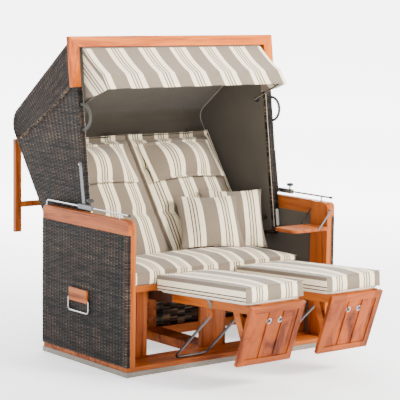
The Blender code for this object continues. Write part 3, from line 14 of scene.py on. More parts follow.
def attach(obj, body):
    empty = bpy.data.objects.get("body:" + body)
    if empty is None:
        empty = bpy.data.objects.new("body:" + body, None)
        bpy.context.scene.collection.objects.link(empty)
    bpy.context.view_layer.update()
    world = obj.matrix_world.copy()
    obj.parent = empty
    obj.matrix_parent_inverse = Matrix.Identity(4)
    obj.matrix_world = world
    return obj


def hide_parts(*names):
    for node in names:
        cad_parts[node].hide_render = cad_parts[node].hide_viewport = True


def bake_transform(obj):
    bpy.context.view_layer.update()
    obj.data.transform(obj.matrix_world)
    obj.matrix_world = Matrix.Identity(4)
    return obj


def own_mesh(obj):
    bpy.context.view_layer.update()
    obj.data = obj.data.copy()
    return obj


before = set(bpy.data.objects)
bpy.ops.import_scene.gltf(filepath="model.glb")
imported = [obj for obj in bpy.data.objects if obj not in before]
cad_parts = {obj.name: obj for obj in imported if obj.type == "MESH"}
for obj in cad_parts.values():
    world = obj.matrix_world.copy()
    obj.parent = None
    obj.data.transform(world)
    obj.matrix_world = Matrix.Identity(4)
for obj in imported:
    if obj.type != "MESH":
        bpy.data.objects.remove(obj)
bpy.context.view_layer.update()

# Camera of the photograph
CAMERA_PLACE = (-5.280, -6.828, 1.905)
CAMERA_YAW = math.radians(38.04)
CAMERA_PITCH = math.radians(-7.31)
CAMERA_ROLL = math.radians(0.79)
CAMERA_LENS = 147.95

# Sizes of the carrying pieces
GAP = 0.0003
HALF_WIDTH = 0.68
PANEL_INNER = 0.651
FRONT = -0.3825
REAR = 0.3825
PANEL_FRONT = -0.3742
PANEL_LOW = 0.0493
PANEL_HIGH = 0.7077
REAR_PANEL_HIGH = 0.424
HOOD_HALF = 0.6412
HOOD_INNER = 0.6112
HOOD_ROOM = 0.6069
LINING_DEPTH = 0.0343
HEADER_FACE_Y = 0.155
HEADER_TOP = 1.66
HEADER_HALF = 0.6732
HEADER_SIDE = 0.058
HEADER_BOARD = 0.052
HEADER_FOOT_Z = 1.405
HOOD_TAN = 0.13
ROOF_START = (0.184, 1.642)
ROOF_PITCH = math.radians(37.2)
BACK_LEAN = math.radians(35.87)
BACK_FOOT = (0.2834, 0.5173)
CORNER_RADIUS = 0.092
BRAID_Y = (0.158, 0.35, 0.655)
BRAID_DROP = (0.24, 0.232, 0.178)
REST_PITCH = math.radians(3.4)
REST_LINE_Z = 0.3985
REST_OFFSET = 0.256
FLAP_WIDTH = 0.34
FLAP_LENGTH = 0.322
FLAP_RIM = 0.034
FLAP_LEAN = math.radians(20)
SEAT_TOP = 0.432

# Weave
ROW_PITCH = 0.0085
EDGE_ROW_PITCH = 0.007
RIB_PITCH = 0.025
TOP_RIB_PITCH = 0.03
STRAND_HEIGHT = 0.0028
UNDER_SHARE = 0.22
OWN_SHADE = 0.62
STRAND_SAMPLES = 4
RIB_SAMPLES = 4
UPPER_ROWS = 23
UPPER_RIBS = 34
LOWER_RIBS = 20
HOOD_WEAVE_FOOT = 0.59
WRAP_WIDTH = 0.018
WRAP_ROUND = 0.003
WRAP_PITCH = 0.0072
# Strand colours by value; the near-black low end is where the painted shade of the weave darkens the value.
STRAND_SHADES = ((0.0, (0.001, 0.001, 0.001)), (0.16, (0.008, 0.006, 0.005)), (0.30, (0.050, 0.032, 0.023)),
                 (0.42, (0.020, 0.021, 0.024)), (0.56, (0.092, 0.060, 0.042)), (0.70, (0.062, 0.062, 0.064)),
                 (0.9, (0.230, 0.170, 0.115)))
WOOD_SHADES = ((0.32, (0.045, 0.008, 0.001)), (0.42, (0.200, 0.040, 0.005)), (0.50, (0.330, 0.076, 0.009)),
               (0.60, (0.405, 0.105, 0.013)), (0.72, (0.320, 0.076, 0.009)))

# Cloth and cushions
THREAD_PITCH = 0.0016
SIM_FRAMES = 18
BATCH = 4000
SEARCH = 0.3
PILLOW_GAP = 0.0012
CHANNEL_DEPTH = 0.026
CHANNEL_WIDTH_SHARE = 0.045
SEAT_PAD_SIZE = (1.1, 0.400)
SEAT_PAD_MIDDLE = (-0.05, -0.087)
BACK_PAD_WIDTH = 0.571
BACK_PAD_START = -0.075
BACK_PAD_END = 0.655
BACK_PAD_MIDDLE = 0.2885
BACK_PAD_CHANNELS = (0.152, 0.437, 0.628)
NECK_PAD_SIZE = (0.49, 0.246)
NECK_PAD_HEIGHT = 0.447
REST_PAD_SIZE = (0.364, 0.702)
REST_PAD_START = -0.0845
REST_LINER_SIZE = (0.336, 0.68)
REST_LINER_THICKNESS = 0.0096
REST_LINER_ROUND = 0.02
THROW_SIZE = (0.350, 0.350)
THROW_START_Z = 0.515
THROW_MIDDLE = (0.169, 0.049)
PILLOW_ROOM = 0.018
TIE_PLACES = (-0.45, -0.123, 0.07, 0.44)
# Side, its name, starts of the stripes on the back cushion and the neck pillow, the neck pillow's middle
SIDES = ((-1, "left", -0.06, -0.215, -0.320), (1, "right", -0.095, -0.14, 0.278))
# Name, foot, yaw, lean, seed, start of the stripes
THROW_PILLOWS = (("pillow_rear", (0.351, 0.0), math.radians(28), math.radians(32), 22, -0.122),
                 ("pillow_front", (0.147, -0.06), math.radians(26), math.radians(44), 21, -0.135))
STRIPE_PITCH = 0.178
AWNING_PITCH = 0.203
AWNING_START = -0.448
AWNING_SIDE_START = 0.025
PLAIN_TURN = 0.8

# Fittings
STRIP_Z = 0.014
STRIP_SPAN = (0.64, 0.34)
PROUD = 0.0002
POST_SCREW_X = 0.6655
ROD_X = 0.664
ROD_Z = 0.805
BUMPER_X = 0.626
BUMPER_Z = 0.6555
ELASTIC_ROUTE = ((0.172, 0.0006), (0.1600, -0.010), (0.1518, -0.022), (0.1514, -0.0455), (0.1330, -0.0466))
ELASTIC_SECTION = ((0.300, 0), (0.322, 0), (0.322, 0.0012), (0.300, 0.0012))

ACROSS = Vector((1, 0, 0))
REARWARD = Vector((0, 1, 0))
UPWARD = Vector((0, 0, 1))
BACK_UP = Vector((0, math.sin(BACK_LEAN), math.cos(BACK_LEAN)))
BACK_FACE = Vector((0, -math.cos(BACK_LEAN), math.sin(BACK_LEAN)))
HOOD_LEAN = math.atan(HOOD_TAN)
HOOD_UP = Vector((0, math.sin(HOOD_LEAN), math.cos(HOOD_LEAN)))
HOOD_FACE = Vector((0, -math.cos(HOOD_LEAN), math.sin(HOOD_LEAN)))
REST_OUT = Vector((0, -math.cos(REST_PITCH), math.sin(REST_PITCH)))
REST_UP = Vector((0, math.sin(REST_PITCH), math.cos(REST_PITCH)))


class Net:
    """Node tree of one material, with short ways to add and join nodes."""

    def __init__(self, name, roughness=0.5, metallic=0.0, **sockets):
        self.material = bpy.data.materials.new(name)
        self.material.use_nodes = True
        self.tree = self.material.node_tree
        self.shader = self.tree.nodes["Principled BSDF"]
        self.shader.inputs["Roughness"].default_value = roughness
        self.shader.inputs["Metallic"].default_value = metallic
        for socket, value in sockets.items():
            self.shader.inputs[socket.replace("_", " ")].default_value = value

    def add(self, kind, **settings):
        item = self.tree.nodes.new(kind)
        for key, value in settings.items():
            setattr(item, key, value)
        return item

    def feed(self, socket, value):
        if isinstance(value, bpy.types.NodeSocket):
            self.tree.links.new(value, socket)
        else:
            socket.default_value = value

    def math(self, operation, *values):
        item = self.add("ShaderNodeMath", operation=operation)
        for socket, value in zip(item.inputs, values):
            self.feed(socket, value)
        return item.outputs[0]

    def place(self):
        return self.add("ShaderNodeTexCoord").outputs["Object"]

    def attribute(self, name):
        return self.add("ShaderNodeAttribute", attribute_name=name)

    def scaled(self, vector, scale):
        item = self.add("ShaderNodeMapping")
        self.feed(item.inputs["Vector"], vector)
        item.inputs["Scale"].default_value = scale
        return item.outputs[0]

    def noise(self, vector, scale, detail=3.0, roughness=0.5, distortion=0.0):
        item = self.add("ShaderNodeTexNoise")
        self.feed(item.inputs["Vector"], vector)
        item.inputs["Scale"].default_value = scale
        item.inputs["Detail"].default_value = detail
        item.inputs["Roughness"].default_value = roughness
        item.inputs["Distortion"].default_value = distortion
        return item.outputs[0]

    def split(self, vector):
        item = self.add("ShaderNodeSeparateXYZ")
        self.feed(item.inputs[0], vector)
        return item.outputs

    def ramp(self, value, stops, interpolation="LINEAR"):
        item = self.add("ShaderNodeValToRGB")
        item.color_ramp.interpolation = interpolation
        points = item.color_ramp.elements
        while len(points) < len(stops):
            points.new(1.0)
        for point, stop in zip(points, stops):
            point.position = stop[0]
        for point, stop in zip(points, stops):
            point.color = (*stop[1], 1.0)
        self.feed(item.inputs[0], value)
        return item.outputs[0]

    def mix(self, share, first, second, blend="MIX"):
        item = self.add("ShaderNodeMix", data_type="RGBA", blend_type=blend)
        for index, value in ((0, share), (6, first), (7, second)):
            if isinstance(value, tuple):
                value = (*value, 1.0)
            self.feed(item.inputs[index], value)
        return item.outputs[2]

    def shaded(self, share, colour, value, stops):
        """Colour multiplied by the shades that a texture's value picks."""
        return self.mix(share, colour, self.ramp(value, stops), "MULTIPLY")

    def tone(self, value, colour, dark, light):
        """One colour from dark to light, by a texture's value."""
        low, high = (tuple(min(1.0, c * share) for c in colour) for share in (dark, light))
        return self.ramp(value, [(0.3, low), (0.7, high)])

    def bump(self, height, strength, distance):
        item = self.add("ShaderNodeBump")
        item.inputs["Strength"].default_value = strength
        item.inputs["Distance"].default_value = distance
        self.feed(item.inputs["Height"], height)
        return item.outputs[0]

    def colour(self, value):
        self.feed(self.shader.inputs["Base Color"], value)

    def rough(self, value):
        self.feed(self.shader.inputs["Roughness"], value)

    def normal(self, value):
        self.feed(self.shader.inputs["Normal"], value)


def grey(level):
    """The same level in all three channels."""
    return (level, level, level)


def wood(name, grain="x", tint=(1.0, 1.0, 1.0), mask=None, board_width=None):
    """Oiled hardwood with its grain along one axis, or two where mask tells them apart."""
    net = Net(name, 0.5, Specular_IOR_Level=0.16)
    place = net.place()

    def stretched(axis, along, across, *settings):
        scale = [along if own == axis else across for own in "xyz"]
        return net.noise(net.scaled(place, scale), 1.0, *settings)

    def grained(axis):
        figure = stretched(axis, 1.3, 16, 6.0, 0.62, 0.9)
        pores = stretched(axis, 9, 260, 2.0, 0.6)
        return net.math("ADD", net.math("MULTIPLY", figure, 0.82), net.math("MULTIPLY", pores, 0.18))

    value = grained(grain)
    if mask is not None:
        other, share = mask(net, place)
        item = net.add("ShaderNodeMix", data_type="FLOAT")
        net.feed(item.inputs[0], share)
        net.feed(item.inputs[2], value)
        net.feed(item.inputs[3], grained(other))
        value = item.outputs[0]
    colour = net.ramp(value, [(at, tuple(c * t for c, t in zip(shade, tint))) for at, shade in WOOD_SHADES])
    if board_width is not None:
        index = net.math("FLOOR", net.math("DIVIDE", net.split(place)[0], board_width))
        white = net.add("ShaderNodeTexWhiteNoise", noise_dimensions="1D")
        net.feed(white.inputs["W"], index)
        stops = [(0.0, (0.72, 0.68, 0.66)), (1.0, (1.12, 1.08, 1.04))]
        colour = net.shaded(1.0, colour, white.outputs[0], stops)
    cloud = net.noise(place, 2.3, 3.0)
    net.colour(net.shaded(0.35, colour, cloud, [(0.3, (0.72, 0.70, 0.70)), (0.7, (1.15, 1.12, 1.1))]))
    net.rough(net.ramp(value, [(0.3, grey(0.55)), (0.7, grey(0.33))]))
    net.normal(net.bump(value, 0.35, 0.0012))
    return net.material


def header_mask(net, place):
    """Upright grain on the header's side boards, out to the mitre."""
    x, _, z = net.split(place)
    side = net.math("SUBTRACT", HEADER_HALF, net.math("ABSOLUTE", x))
    down = net.math("SUBTRACT", HEADER_TOP, z)
    return "z", net.math("LESS_THAN", net.math("MULTIPLY", side, HEADER_BOARD / HEADER_SIDE), down)


def flap_mask(net, place):
    """Level grain on the flaps' upper and lower rails, out to their mitres."""
    origin, down = flap_frame(0)[:2]
    x, y, z = net.split(place)
    along = net.math("ADD", net.math("MULTIPLY", y, down.y), net.math("MULTIPLY", z, down.z))
    along = net.math("SUBTRACT", along, down.dot(origin))
    end = net.math("MINIMUM", along, net.math("SUBTRACT", FLAP_LENGTH, along))
    off = net.math("ABSOLUTE", net.math("SUBTRACT", net.math("ABSOLUTE", x), REST_OFFSET))
    side = net.math("SUBTRACT", FLAP_WIDTH / 2, off)
    return "x", net.math("LESS_THAN", end, net.math("MINIMUM", side, FLAP_RIM))


def strand_material(name, bumped):
    """Plastic strands in greys and browns, each its own shade. bumped draws the rows as well; unbumped shows
    the painted shade stored by the woven sheets.
    """
    net = Net(name, 0.6, Specular_IOR_Level=0.14)
    place = net.place()
    if bumped:
        x, y, z = net.split(place)
        rows = net.math("DIVIDE", z, ROW_PITCH)
        ribs = net.math("DIVIDE", net.math("ADD", x, y), 2 * RIB_PITCH)
        cell = net.add("ShaderNodeCombineXYZ")
        net.feed(cell.inputs[0], net.math("FLOOR", rows))
        net.feed(cell.inputs[1], net.math("FLOOR", ribs))
        white = net.add("ShaderNodeTexWhiteNoise", noise_dimensions="3D")
        net.feed(white.inputs["Vector"], cell.outputs[0])
        pick = white.outputs[0]
        rounded = net.math("SINE", net.math("MULTIPLY", net.math("FRACT", rows), math.pi))
        net.normal(net.bump(rounded, 0.9, 0.003))
    else:
        # The strand attribute holds each strand's own tone, with painted shade at strand edges, rib gaps and
        # under-passes.
        pick = net.attribute("strand").outputs["Fac"]
    colour = net.ramp(pick, STRAND_SHADES)
    columns = net.noise(net.scaled(place, (22, 22, 1.6)), 1.0, 3.0, 0.6)
    stops = [(0.34, (0.27, 0.37, 0.37)), (0.45, (0.72, 0.84, 0.72)), (0.55, (1.00, 0.80, 0.60)),
             (0.66, (0.38, 0.36, 0.33))]
    colour = net.shaded(0.85, colour, columns, stops)
    streak = net.noise(net.scaled(place, (60, 60, 420)), 1.0, 3.0, 0.6)
    colour = net.shaded(0.8, colour, streak, [(0.3, (0.55, 0.55, 0.57)), (0.75, (1.5, 1.42, 1.35))])
    broad = net.noise(net.scaled(place, (2.2, 2.2, 1.2)), 2.0, 2.0)
    net.colour(net.shaded(0.6, colour, broad, [(0.35, (0.68, 0.74, 0.83)), (0.65, (1.18, 1.02, 0.90))]))
    if not bumped:
        net.normal(net.bump(streak, 0.25, 0.0006))
    return net.material


def striped_cloth(name):
    """Woven cloth with groups of cream bands and thin dark lines on taupe."""
    net = Net(name, 0.9, Sheen_Weight=0.3, Sheen_Roughness=0.5, Specular_IOR_Level=0.2)
    cloth = net.attribute("cloth").outputs["Vector"]
    turns, across, along = net.split(cloth)
    tooth = 0.0022
    zigzag = net.math("SUBTRACT", net.math("PINGPONG", along, tooth), tooth / 2)
    share = net.math("FRACT", net.math("ADD", turns, net.math("MULTIPLY", zigzag, 2.2)))
    cream, taupe, line = (0.97, 0.85, 0.60), (0.200, 0.155, 0.109), (0.032, 0.020, 0.015)
    pale = (0.80, 0.67, 0.47)
    stops = ((0.0, cream), (0.150, line), (0.182, pale), (0.245, line), (0.277, pale), (0.340, line),
             (0.372, cream), (0.54, taupe))
    colour = net.ramp(share, stops, "CONSTANT")
    flat = net.add("ShaderNodeCombineXYZ")
    net.feed(flat.inputs[0], across)
    net.feed(flat.inputs[1], along)
    warp, weft = (net.math("SINE", net.math("MULTIPLY", way, 2 * math.pi / THREAD_PITCH))
                  for way in (across, along))
    slubs = [net.noise(net.scaled(flat.outputs[0], scale), 1.0, 2.0)
             for scale in ((900, 60, 1), (60, 900, 1))]
    thread = net.math("MULTIPLY", net.math("ADD", *slubs), 0.5)
    colour = net.shaded(0.55, colour, thread, [(0.35, (0.78, 0.77, 0.76)), (0.65, (1.14, 1.13, 1.12))])
    worn = net.noise(net.place(), 3.5, 3.0)
    net.colour(net.shaded(0.3, colour, worn, [(0.3, (0.86, 0.85, 0.85)), (0.7, (1.08, 1.07, 1.06))]))
    weave = net.math("MULTIPLY", warp, weft)
    net.normal(net.bump(net.math("ADD", net.math("MULTIPLY", weave, 0.35), thread), 0.35, 0.0006))
    return net.material


def plain_cloth(name, colour, thread=0.0022):
    """Plain woven cloth."""
    net = Net(name, 0.92, Sheen_Weight=0.25, Sheen_Roughness=0.5, Specular_IOR_Level=0.2)
    place = net.place()
    x, y, z = net.split(place)
    warp, weft = (net.math("SINE", net.math("MULTIPLY", way, 2 * math.pi / thread))
                  for way in (net.math("ADD", x, y), z))
    tone = net.tone(net.noise(place, 2.2, 4.0), colour, 0.84, 1.14)
    fuzz = net.noise(place, 420, 2.0)
    net.colour(net.shaded(0.5, tone, fuzz, [(0.3, grey(0.8)), (0.7, grey(1.15))]))
    weave = net.math("MULTIPLY", warp, weft)
    net.normal(net.bump(net.math("ADD", net.math("MULTIPLY", weave, 0.5), fuzz), 0.3, 0.0008))
    return net.material


def steel(name, colour, roughness):
    """Stainless steel with fine brushing and a few smears."""
    net = Net(name, roughness, 1.0)
    place = net.place()
    brush = net.noise(net.scaled(place, (700, 60, 700)), 1.0, 2.0)
    smear = net.noise(place, 9.0, 3.0)
    net.colour(net.tone(smear, colour, 0.85, 1.15))
    mixed = net.math("ADD", net.math("MULTIPLY", brush, 0.5), net.math("MULTIPLY", smear, 0.5))
    net.rough(net.tone(mixed, grey(roughness), 0.7, 1.4))
    net.normal(net.bump(brush, 0.12, 0.0003))
    return net.material


def plastic(name, colour, roughness=0.4):
    """Moulded plastic with a fine grain."""
    net = Net(name, roughness)
    place = net.place()
    net.colour(net.tone(net.noise(place, 12, 2.0), colour, 0.85, 1.15))
    net.normal(net.bump(net.noise(place, 900, 2.0), 0.15, 0.0003))
    return net.material


def both(base):
    """Names of the left and the right node."""
    return [base + "_left", base + "_right"]


def dress(nodes, material):
    """Give the material to carried-over nodes."""
    for name in nodes:
        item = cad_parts[name]
        item.data.materials.clear()
        item.data.materials.append(material)


def piece(name, vertices, faces, material, smooth=True):
    """New mesh object with its material."""
    mesh = bpy.data.meshes.new(name)
    mesh.from_pydata([tuple(v) for v in vertices], [], faces)
    mesh.update()
    item = bpy.data.objects.new(name, mesh)
    bpy.context.scene.collection.objects.link(item)
    item.data.materials.append(material)
    if smooth:
        mesh.shade_smooth()
    return item


def turn_outward(item):
    """Normals of a closed mesh turned outward."""
    bm = bmesh.new()
    bm.from_mesh(item.data)
    bmesh.ops.recalc_face_normals(bm, faces=list(bm.faces))
    bm.to_mesh(item.data)
    bm.free()


def angles(count):
    """Even angles round a circle."""
    return [2 * math.pi * k / count for k in range(count)]


def square_to(direction):
    """Some direction at right angles to another."""
    helper = UPWARD if abs(direction.z) < 0.9 else ACROSS
    return direction.cross(helper).normalized()


def belt(first, second, count):
    """Quads between two rings of vertices, from the number of each ring's first one."""
    return [(first + k, first + (k + 1) % count, second + (k + 1) % count, second + k) for k in range(count)]


def ring_faces(start, rings, sides):
    """Faces of a closed body of rings: the belts between them and a lid at each end."""
    faces = []
    for i in range(rings - 1):
        faces += belt(start + i * sides, start + (i + 1) * sides, sides)
    last = start + (rings - 1) * sides
    faces.append(tuple(start + k for k in reversed(range(sides))))
    faces.append(tuple(last + k for k in range(sides)))
    return faces


def tube_parts(path, radius, sides=10, start=0):
    """Vertices and faces of a round bar along a path with flat ends. radius may be a list."""
    path = [Vector(p) for p in path]
    radii = radius if isinstance(radius, (list, tuple)) else [radius] * len(path)
    side = square_to((path[1] - path[0]).normalized())
    vertices = []
    for i, point in enumerate(path):
        ahead = path[min(i + 1, len(path) - 1)] - point
        behind = point - path[max(i - 1, 0)]
        tangent = (ahead.normalized() + behind.normalized()).normalized()
        side = (side - tangent * side.dot(tangent)).normalized()
        other = tangent.cross(side)
        for angle in angles(sides):
            vertices.append(point + (side * math.cos(angle) + other * math.sin(angle)) * radii[i])
    return vertices, ring_faces(start, len(path), sides)


def tubes(name, paths, radius, material, body, sides=10):
    """Several round bars as one piece on a body."""
    vertices, faces = [], []
    for path in paths:
        more, skin = tube_parts(path, radius, sides, len(vertices))
        vertices += more
        faces += skin
    item = piece(name, vertices, faces, material)
    turn_outward(item)
    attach(item, body)
    return item


def domes(name, spots, radius, height, material, body, sides=14):
    """Low round heads, such as screws, at (place, direction) spots, as one piece."""
    vertices, faces = [], []
    shares = ((1.0, 0.0), (0.96, 0.45), (0.72, 0.85), (0.3, 1.0))
    for spot, direction in spots:
        direction = Vector(direction).normalized()
        side = square_to(direction)
        other = direction.cross(side)
        faces += ring_faces(len(vertices), len(shares), sides)
        for reach, rise in shares:
            for angle in angles(sides):
                out = (side * math.cos(angle) + other * math.sin(angle)) * radius * reach
                vertices.append(Vector(spot) + out + direction * height * rise)
    item = piece(name, vertices, faces, material)
    turn_outward(item)
    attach(item, body)
    return item


def rest_point(x, out, up):
    """Point in the footrests' frame."""
    return ACROSS * x + Vector((0, FRONT, REST_LINE_Z)) + REST_OUT * out + REST_UP * up


def back_point(x, distance, height):
    """Point on the hood's back: up from its foot, and in front of its outer face."""
    return ACROSS * x + Vector((0, *BACK_FOOT)) + BACK_UP * distance + BACK_FACE * height


def hood_front(z):
    """Y of the hood's front plane at a height."""
    return HEADER_FACE_Y - HOOD_TAN * (HEADER_TOP - z)


def roof_z(y):
    """Height of the roof's outer face."""
    return ROOF_START[1] - math.tan(ROOF_PITCH) * (y - ROOF_START[0])


def hood_path(inset=0.0, start_y=0.176, end_z=None, corner_steps=14):
    """Points and outward directions along the roof, its corner and the back."""
    roof_along = Vector((math.cos(ROOF_PITCH), -math.sin(ROOF_PITCH)))
    roof_out = Vector((math.sin(ROOF_PITCH), math.cos(ROOF_PITCH)))
    back_along = Vector((math.sin(BACK_LEAN), math.cos(BACK_LEAN)))
    back_out = Vector((math.cos(BACK_LEAN), -math.sin(BACK_LEAN)))
    roof = Vector(ROOF_START) - roof_out * inset
    foot = Vector(BACK_FOOT) - back_out * inset
    cross = roof_along.x * back_along.y - roof_along.y * back_along.x
    gap = foot - roof
    corner = roof + roof_along * ((gap.x * back_along.y - gap.y * back_along.x) / cross)
    half = (-roof_along).angle(-back_along) / 2
    radius = CORNER_RADIUS - inset
    centre = corner + (-roof_along - back_along).normalized() * (radius / math.sin(half))
    points = [(roof + roof_along * ((start_y - roof.x) / roof_along.x), roof_out)]
    turn = math.pi - 2 * half
    for i in range(corner_steps + 1):
        share = i / corner_steps
        angle = turn * share
        out = (roof_out * math.sin(turn - angle) + back_out * math.sin(angle)) / math.sin(turn)
        points.append((centre + out * radius, out))
    end = foot if end_z is None else foot + back_along * ((end_z - foot.y) / back_along.y)
    points.append((end, back_out))
    return points


def path_steps(points):
    """Distance from a path's start to each of its points."""
    places = np.array([tuple(point[0]) for point in points])
    return np.concatenate(([0], np.cumsum(np.linalg.norm(np.diff(places, axis=0), axis=1))))


def along_path(points, shares):
    """Places and directions at shares of a path's length."""
    steps = path_steps(points)
    at = shares * steps[-1]
    found = []
    for values in zip(*points):
        values = np.array([tuple(value) for value in values])
        found.append(np.stack([np.interp(at, steps, values[:, i]) for i in range(2)], -1))
    return found


def braid_z(y):
    """Height of the braid on the hood's sides."""
    return np.interp(y, BRAID_Y, [roof_z(a) - d for a, d in zip(BRAID_Y, BRAID_DROP)])


def woven(name, body, place, rows, ribs, material, seed, keep=None, lift=0.0002, gain=1.0, pale=0.0):
    """Sheet of strands over and under ribs, with painted shade in their stored values. place gives points and
    directions.
    """
    rows, ribs = int(rows), int(ribs)
    tall, wide = rows * STRAND_SAMPLES, ribs * RIB_SAMPLES
    v, u = np.meshgrid(np.arange(tall + 1) / tall, np.arange(wide + 1) / wide, indexing="ij")
    at_row = v * rows + 1e-6
    row = np.floor(at_row)
    within = np.clip(at_row - row, 0, 1)
    rib = u * ribs
    over = 0.5 + 0.5 * np.cos(np.pi * (rib + row))
    profile = np.sqrt(np.clip(1 - (2 * within - 1) ** 2, 0, 1))
    height = lift + STRAND_HEIGHT * (UNDER_SHARE + (1 - UNDER_SHARE) * over) * profile
    points, out = place(u, v)
    points = points + out * height[..., None]
    rng = np.random.default_rng(seed)
    shades = rng.random((rows + 2, ribs + 3))
    row_shade = rng.random(rows + 2)
    segment = np.floor((rib + np.mod(row, 2)) / 2).astype(int)
    number = row.astype(int)
    value = OWN_SHADE * shades[number, segment] + (1 - OWN_SHADE) * row_shade[number]
    # Painted shade: the value is darkened at each strand's edges, in the gaps at the ribs and where a strand
    # passes under.
    groove = np.abs(np.cos(np.pi * rib))
    value = value * (0.2 + 0.8 * profile) * (0.04 + 0.96 * groove) * (0.7 + 0.3 * over)
    value = np.clip(value * gain + pale, 0, 1)
    count = wide + 1
    cell = np.arange(tall)[:, None] * count + np.arange(wide)[None, :]
    middle = (points[:-1, :-1] + points[1:, 1:]) / 2
    chosen = np.ones(cell.shape, bool) if keep is None else keep(middle)
    cell = cell[chosen]
    quads = np.stack((cell, cell + 1, cell + count + 1, cell + count), -1)
    used, inverse = np.unique(quads, return_inverse=True)
    quads = inverse.reshape(quads.shape)
    flat = points.reshape(-1, 3)[used]
    first = flat[quads[:, 0]]
    facing = np.cross(flat[quads[:, 1]] - first, flat[quads[:, 3]] - first)
    outs = out.reshape(-1, 3)[used][quads[:, 0]]
    if np.mean(np.sum(facing * outs, axis=1)) < 0:
        quads = quads[:, ::-1]
    item = piece(name, flat.tolist(), quads.tolist(), material)
    strand_values(item.data, value.reshape(-1)[used])
    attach(item, body)


def strand_values(mesh, values):
    """Store the strands' values on the mesh: own tones, with painted shade where a woven sheet darkens them.
    """
    attribute = mesh.attributes.new("strand", "FLOAT", "POINT")
    attribute.data.foreach_set("value", values.astype(np.float32))


def flat_place(origin, along, up, out):
    """Place function of a flat sheet from its corner, its two sides and its direction."""
    origin, along, up, out = (np.array(tuple(a), float) for a in (origin, along, up, out))

    def place(u, v):
        points = origin + u[..., None] * along + v[..., None] * up
        return points, np.broadcast_to(out, points.shape)

    return place


def weave_base(material):
    """Strands on the sides, the rear edges and the rear panel of the base."""
    high = PANEL_HIGH - PANEL_LOW
    rows = round(high / ROW_PITCH)
    long = REAR - PANEL_FRONT
    for sign, name in ((-1, "left"), (1, "right")):
        corner = (sign * HALF_WIDTH, PANEL_FRONT, PANEL_LOW)
        place = flat_place(corner, (0, long, 0), (0, 0, high), (sign, 0, 0))
        woven("weave_side_" + name, "base", place, rows, round(long / RIB_PITCH), material, 11 + sign)
        corner = (HALF_WIDTH if sign > 0 else -PANEL_INNER, REAR, PANEL_LOW)
        place = flat_place(corner, (PANEL_INNER - HALF_WIDTH, 0, 0), (0, 0, high), (0, 1, 0))
        woven("weave_rear_edge_" + name, "base", place, rows, 1, material, 21 + sign)
    wide = 2 * PANEL_INNER
    high = REAR_PANEL_HIGH - PANEL_LOW
    place = flat_place((PANEL_INNER, REAR, PANEL_LOW), (-wide, 0, 0), (0, 0, high), (0, 1, 0))
    woven("weave_rear", "base", place, round(high / ROW_PITCH), round(wide / RIB_PITCH), material, 31)


def wrap_corners(material):
    """Strands laid round the front corners of the base, beside the posts."""
    high = PANEL_HIGH - PANEL_LOW
    steps = 8
    for sign, name in ((-1, "left"), (1, "right")):
        corner = [(Vector((sign * (HALF_WIDTH - WRAP_WIDTH), FRONT)), Vector((0, -1)))]
        for i in range(steps + 1):
            angle = math.pi / 2 * i / steps
            out = Vector((sign * math.sin(angle), -math.cos(angle)))
            middle = Vector((sign * (HALF_WIDTH - WRAP_ROUND), FRONT + WRAP_ROUND))
            corner.append((middle + out * WRAP_ROUND, out))
        corner.append((Vector((sign * HALF_WIDTH, PANEL_FRONT + WRAP_WIDTH)), Vector((sign, 0))))

        def place(u, v, corner=corner):
            spot, out = along_path(corner, u.ravel())
            level = PANEL_LOW + high * v.ravel()
            points = np.column_stack((spot, level)).reshape(*u.shape, 3)
            return points, np.column_stack((out, np.zeros(u.size))).reshape(*u.shape, 3)

        woven("weave_corner_" + name, "base", place, round(high / WRAP_PITCH), 2, material, 25 + sign,
              lift=0.0016, gain=1.3, pale=0.08)


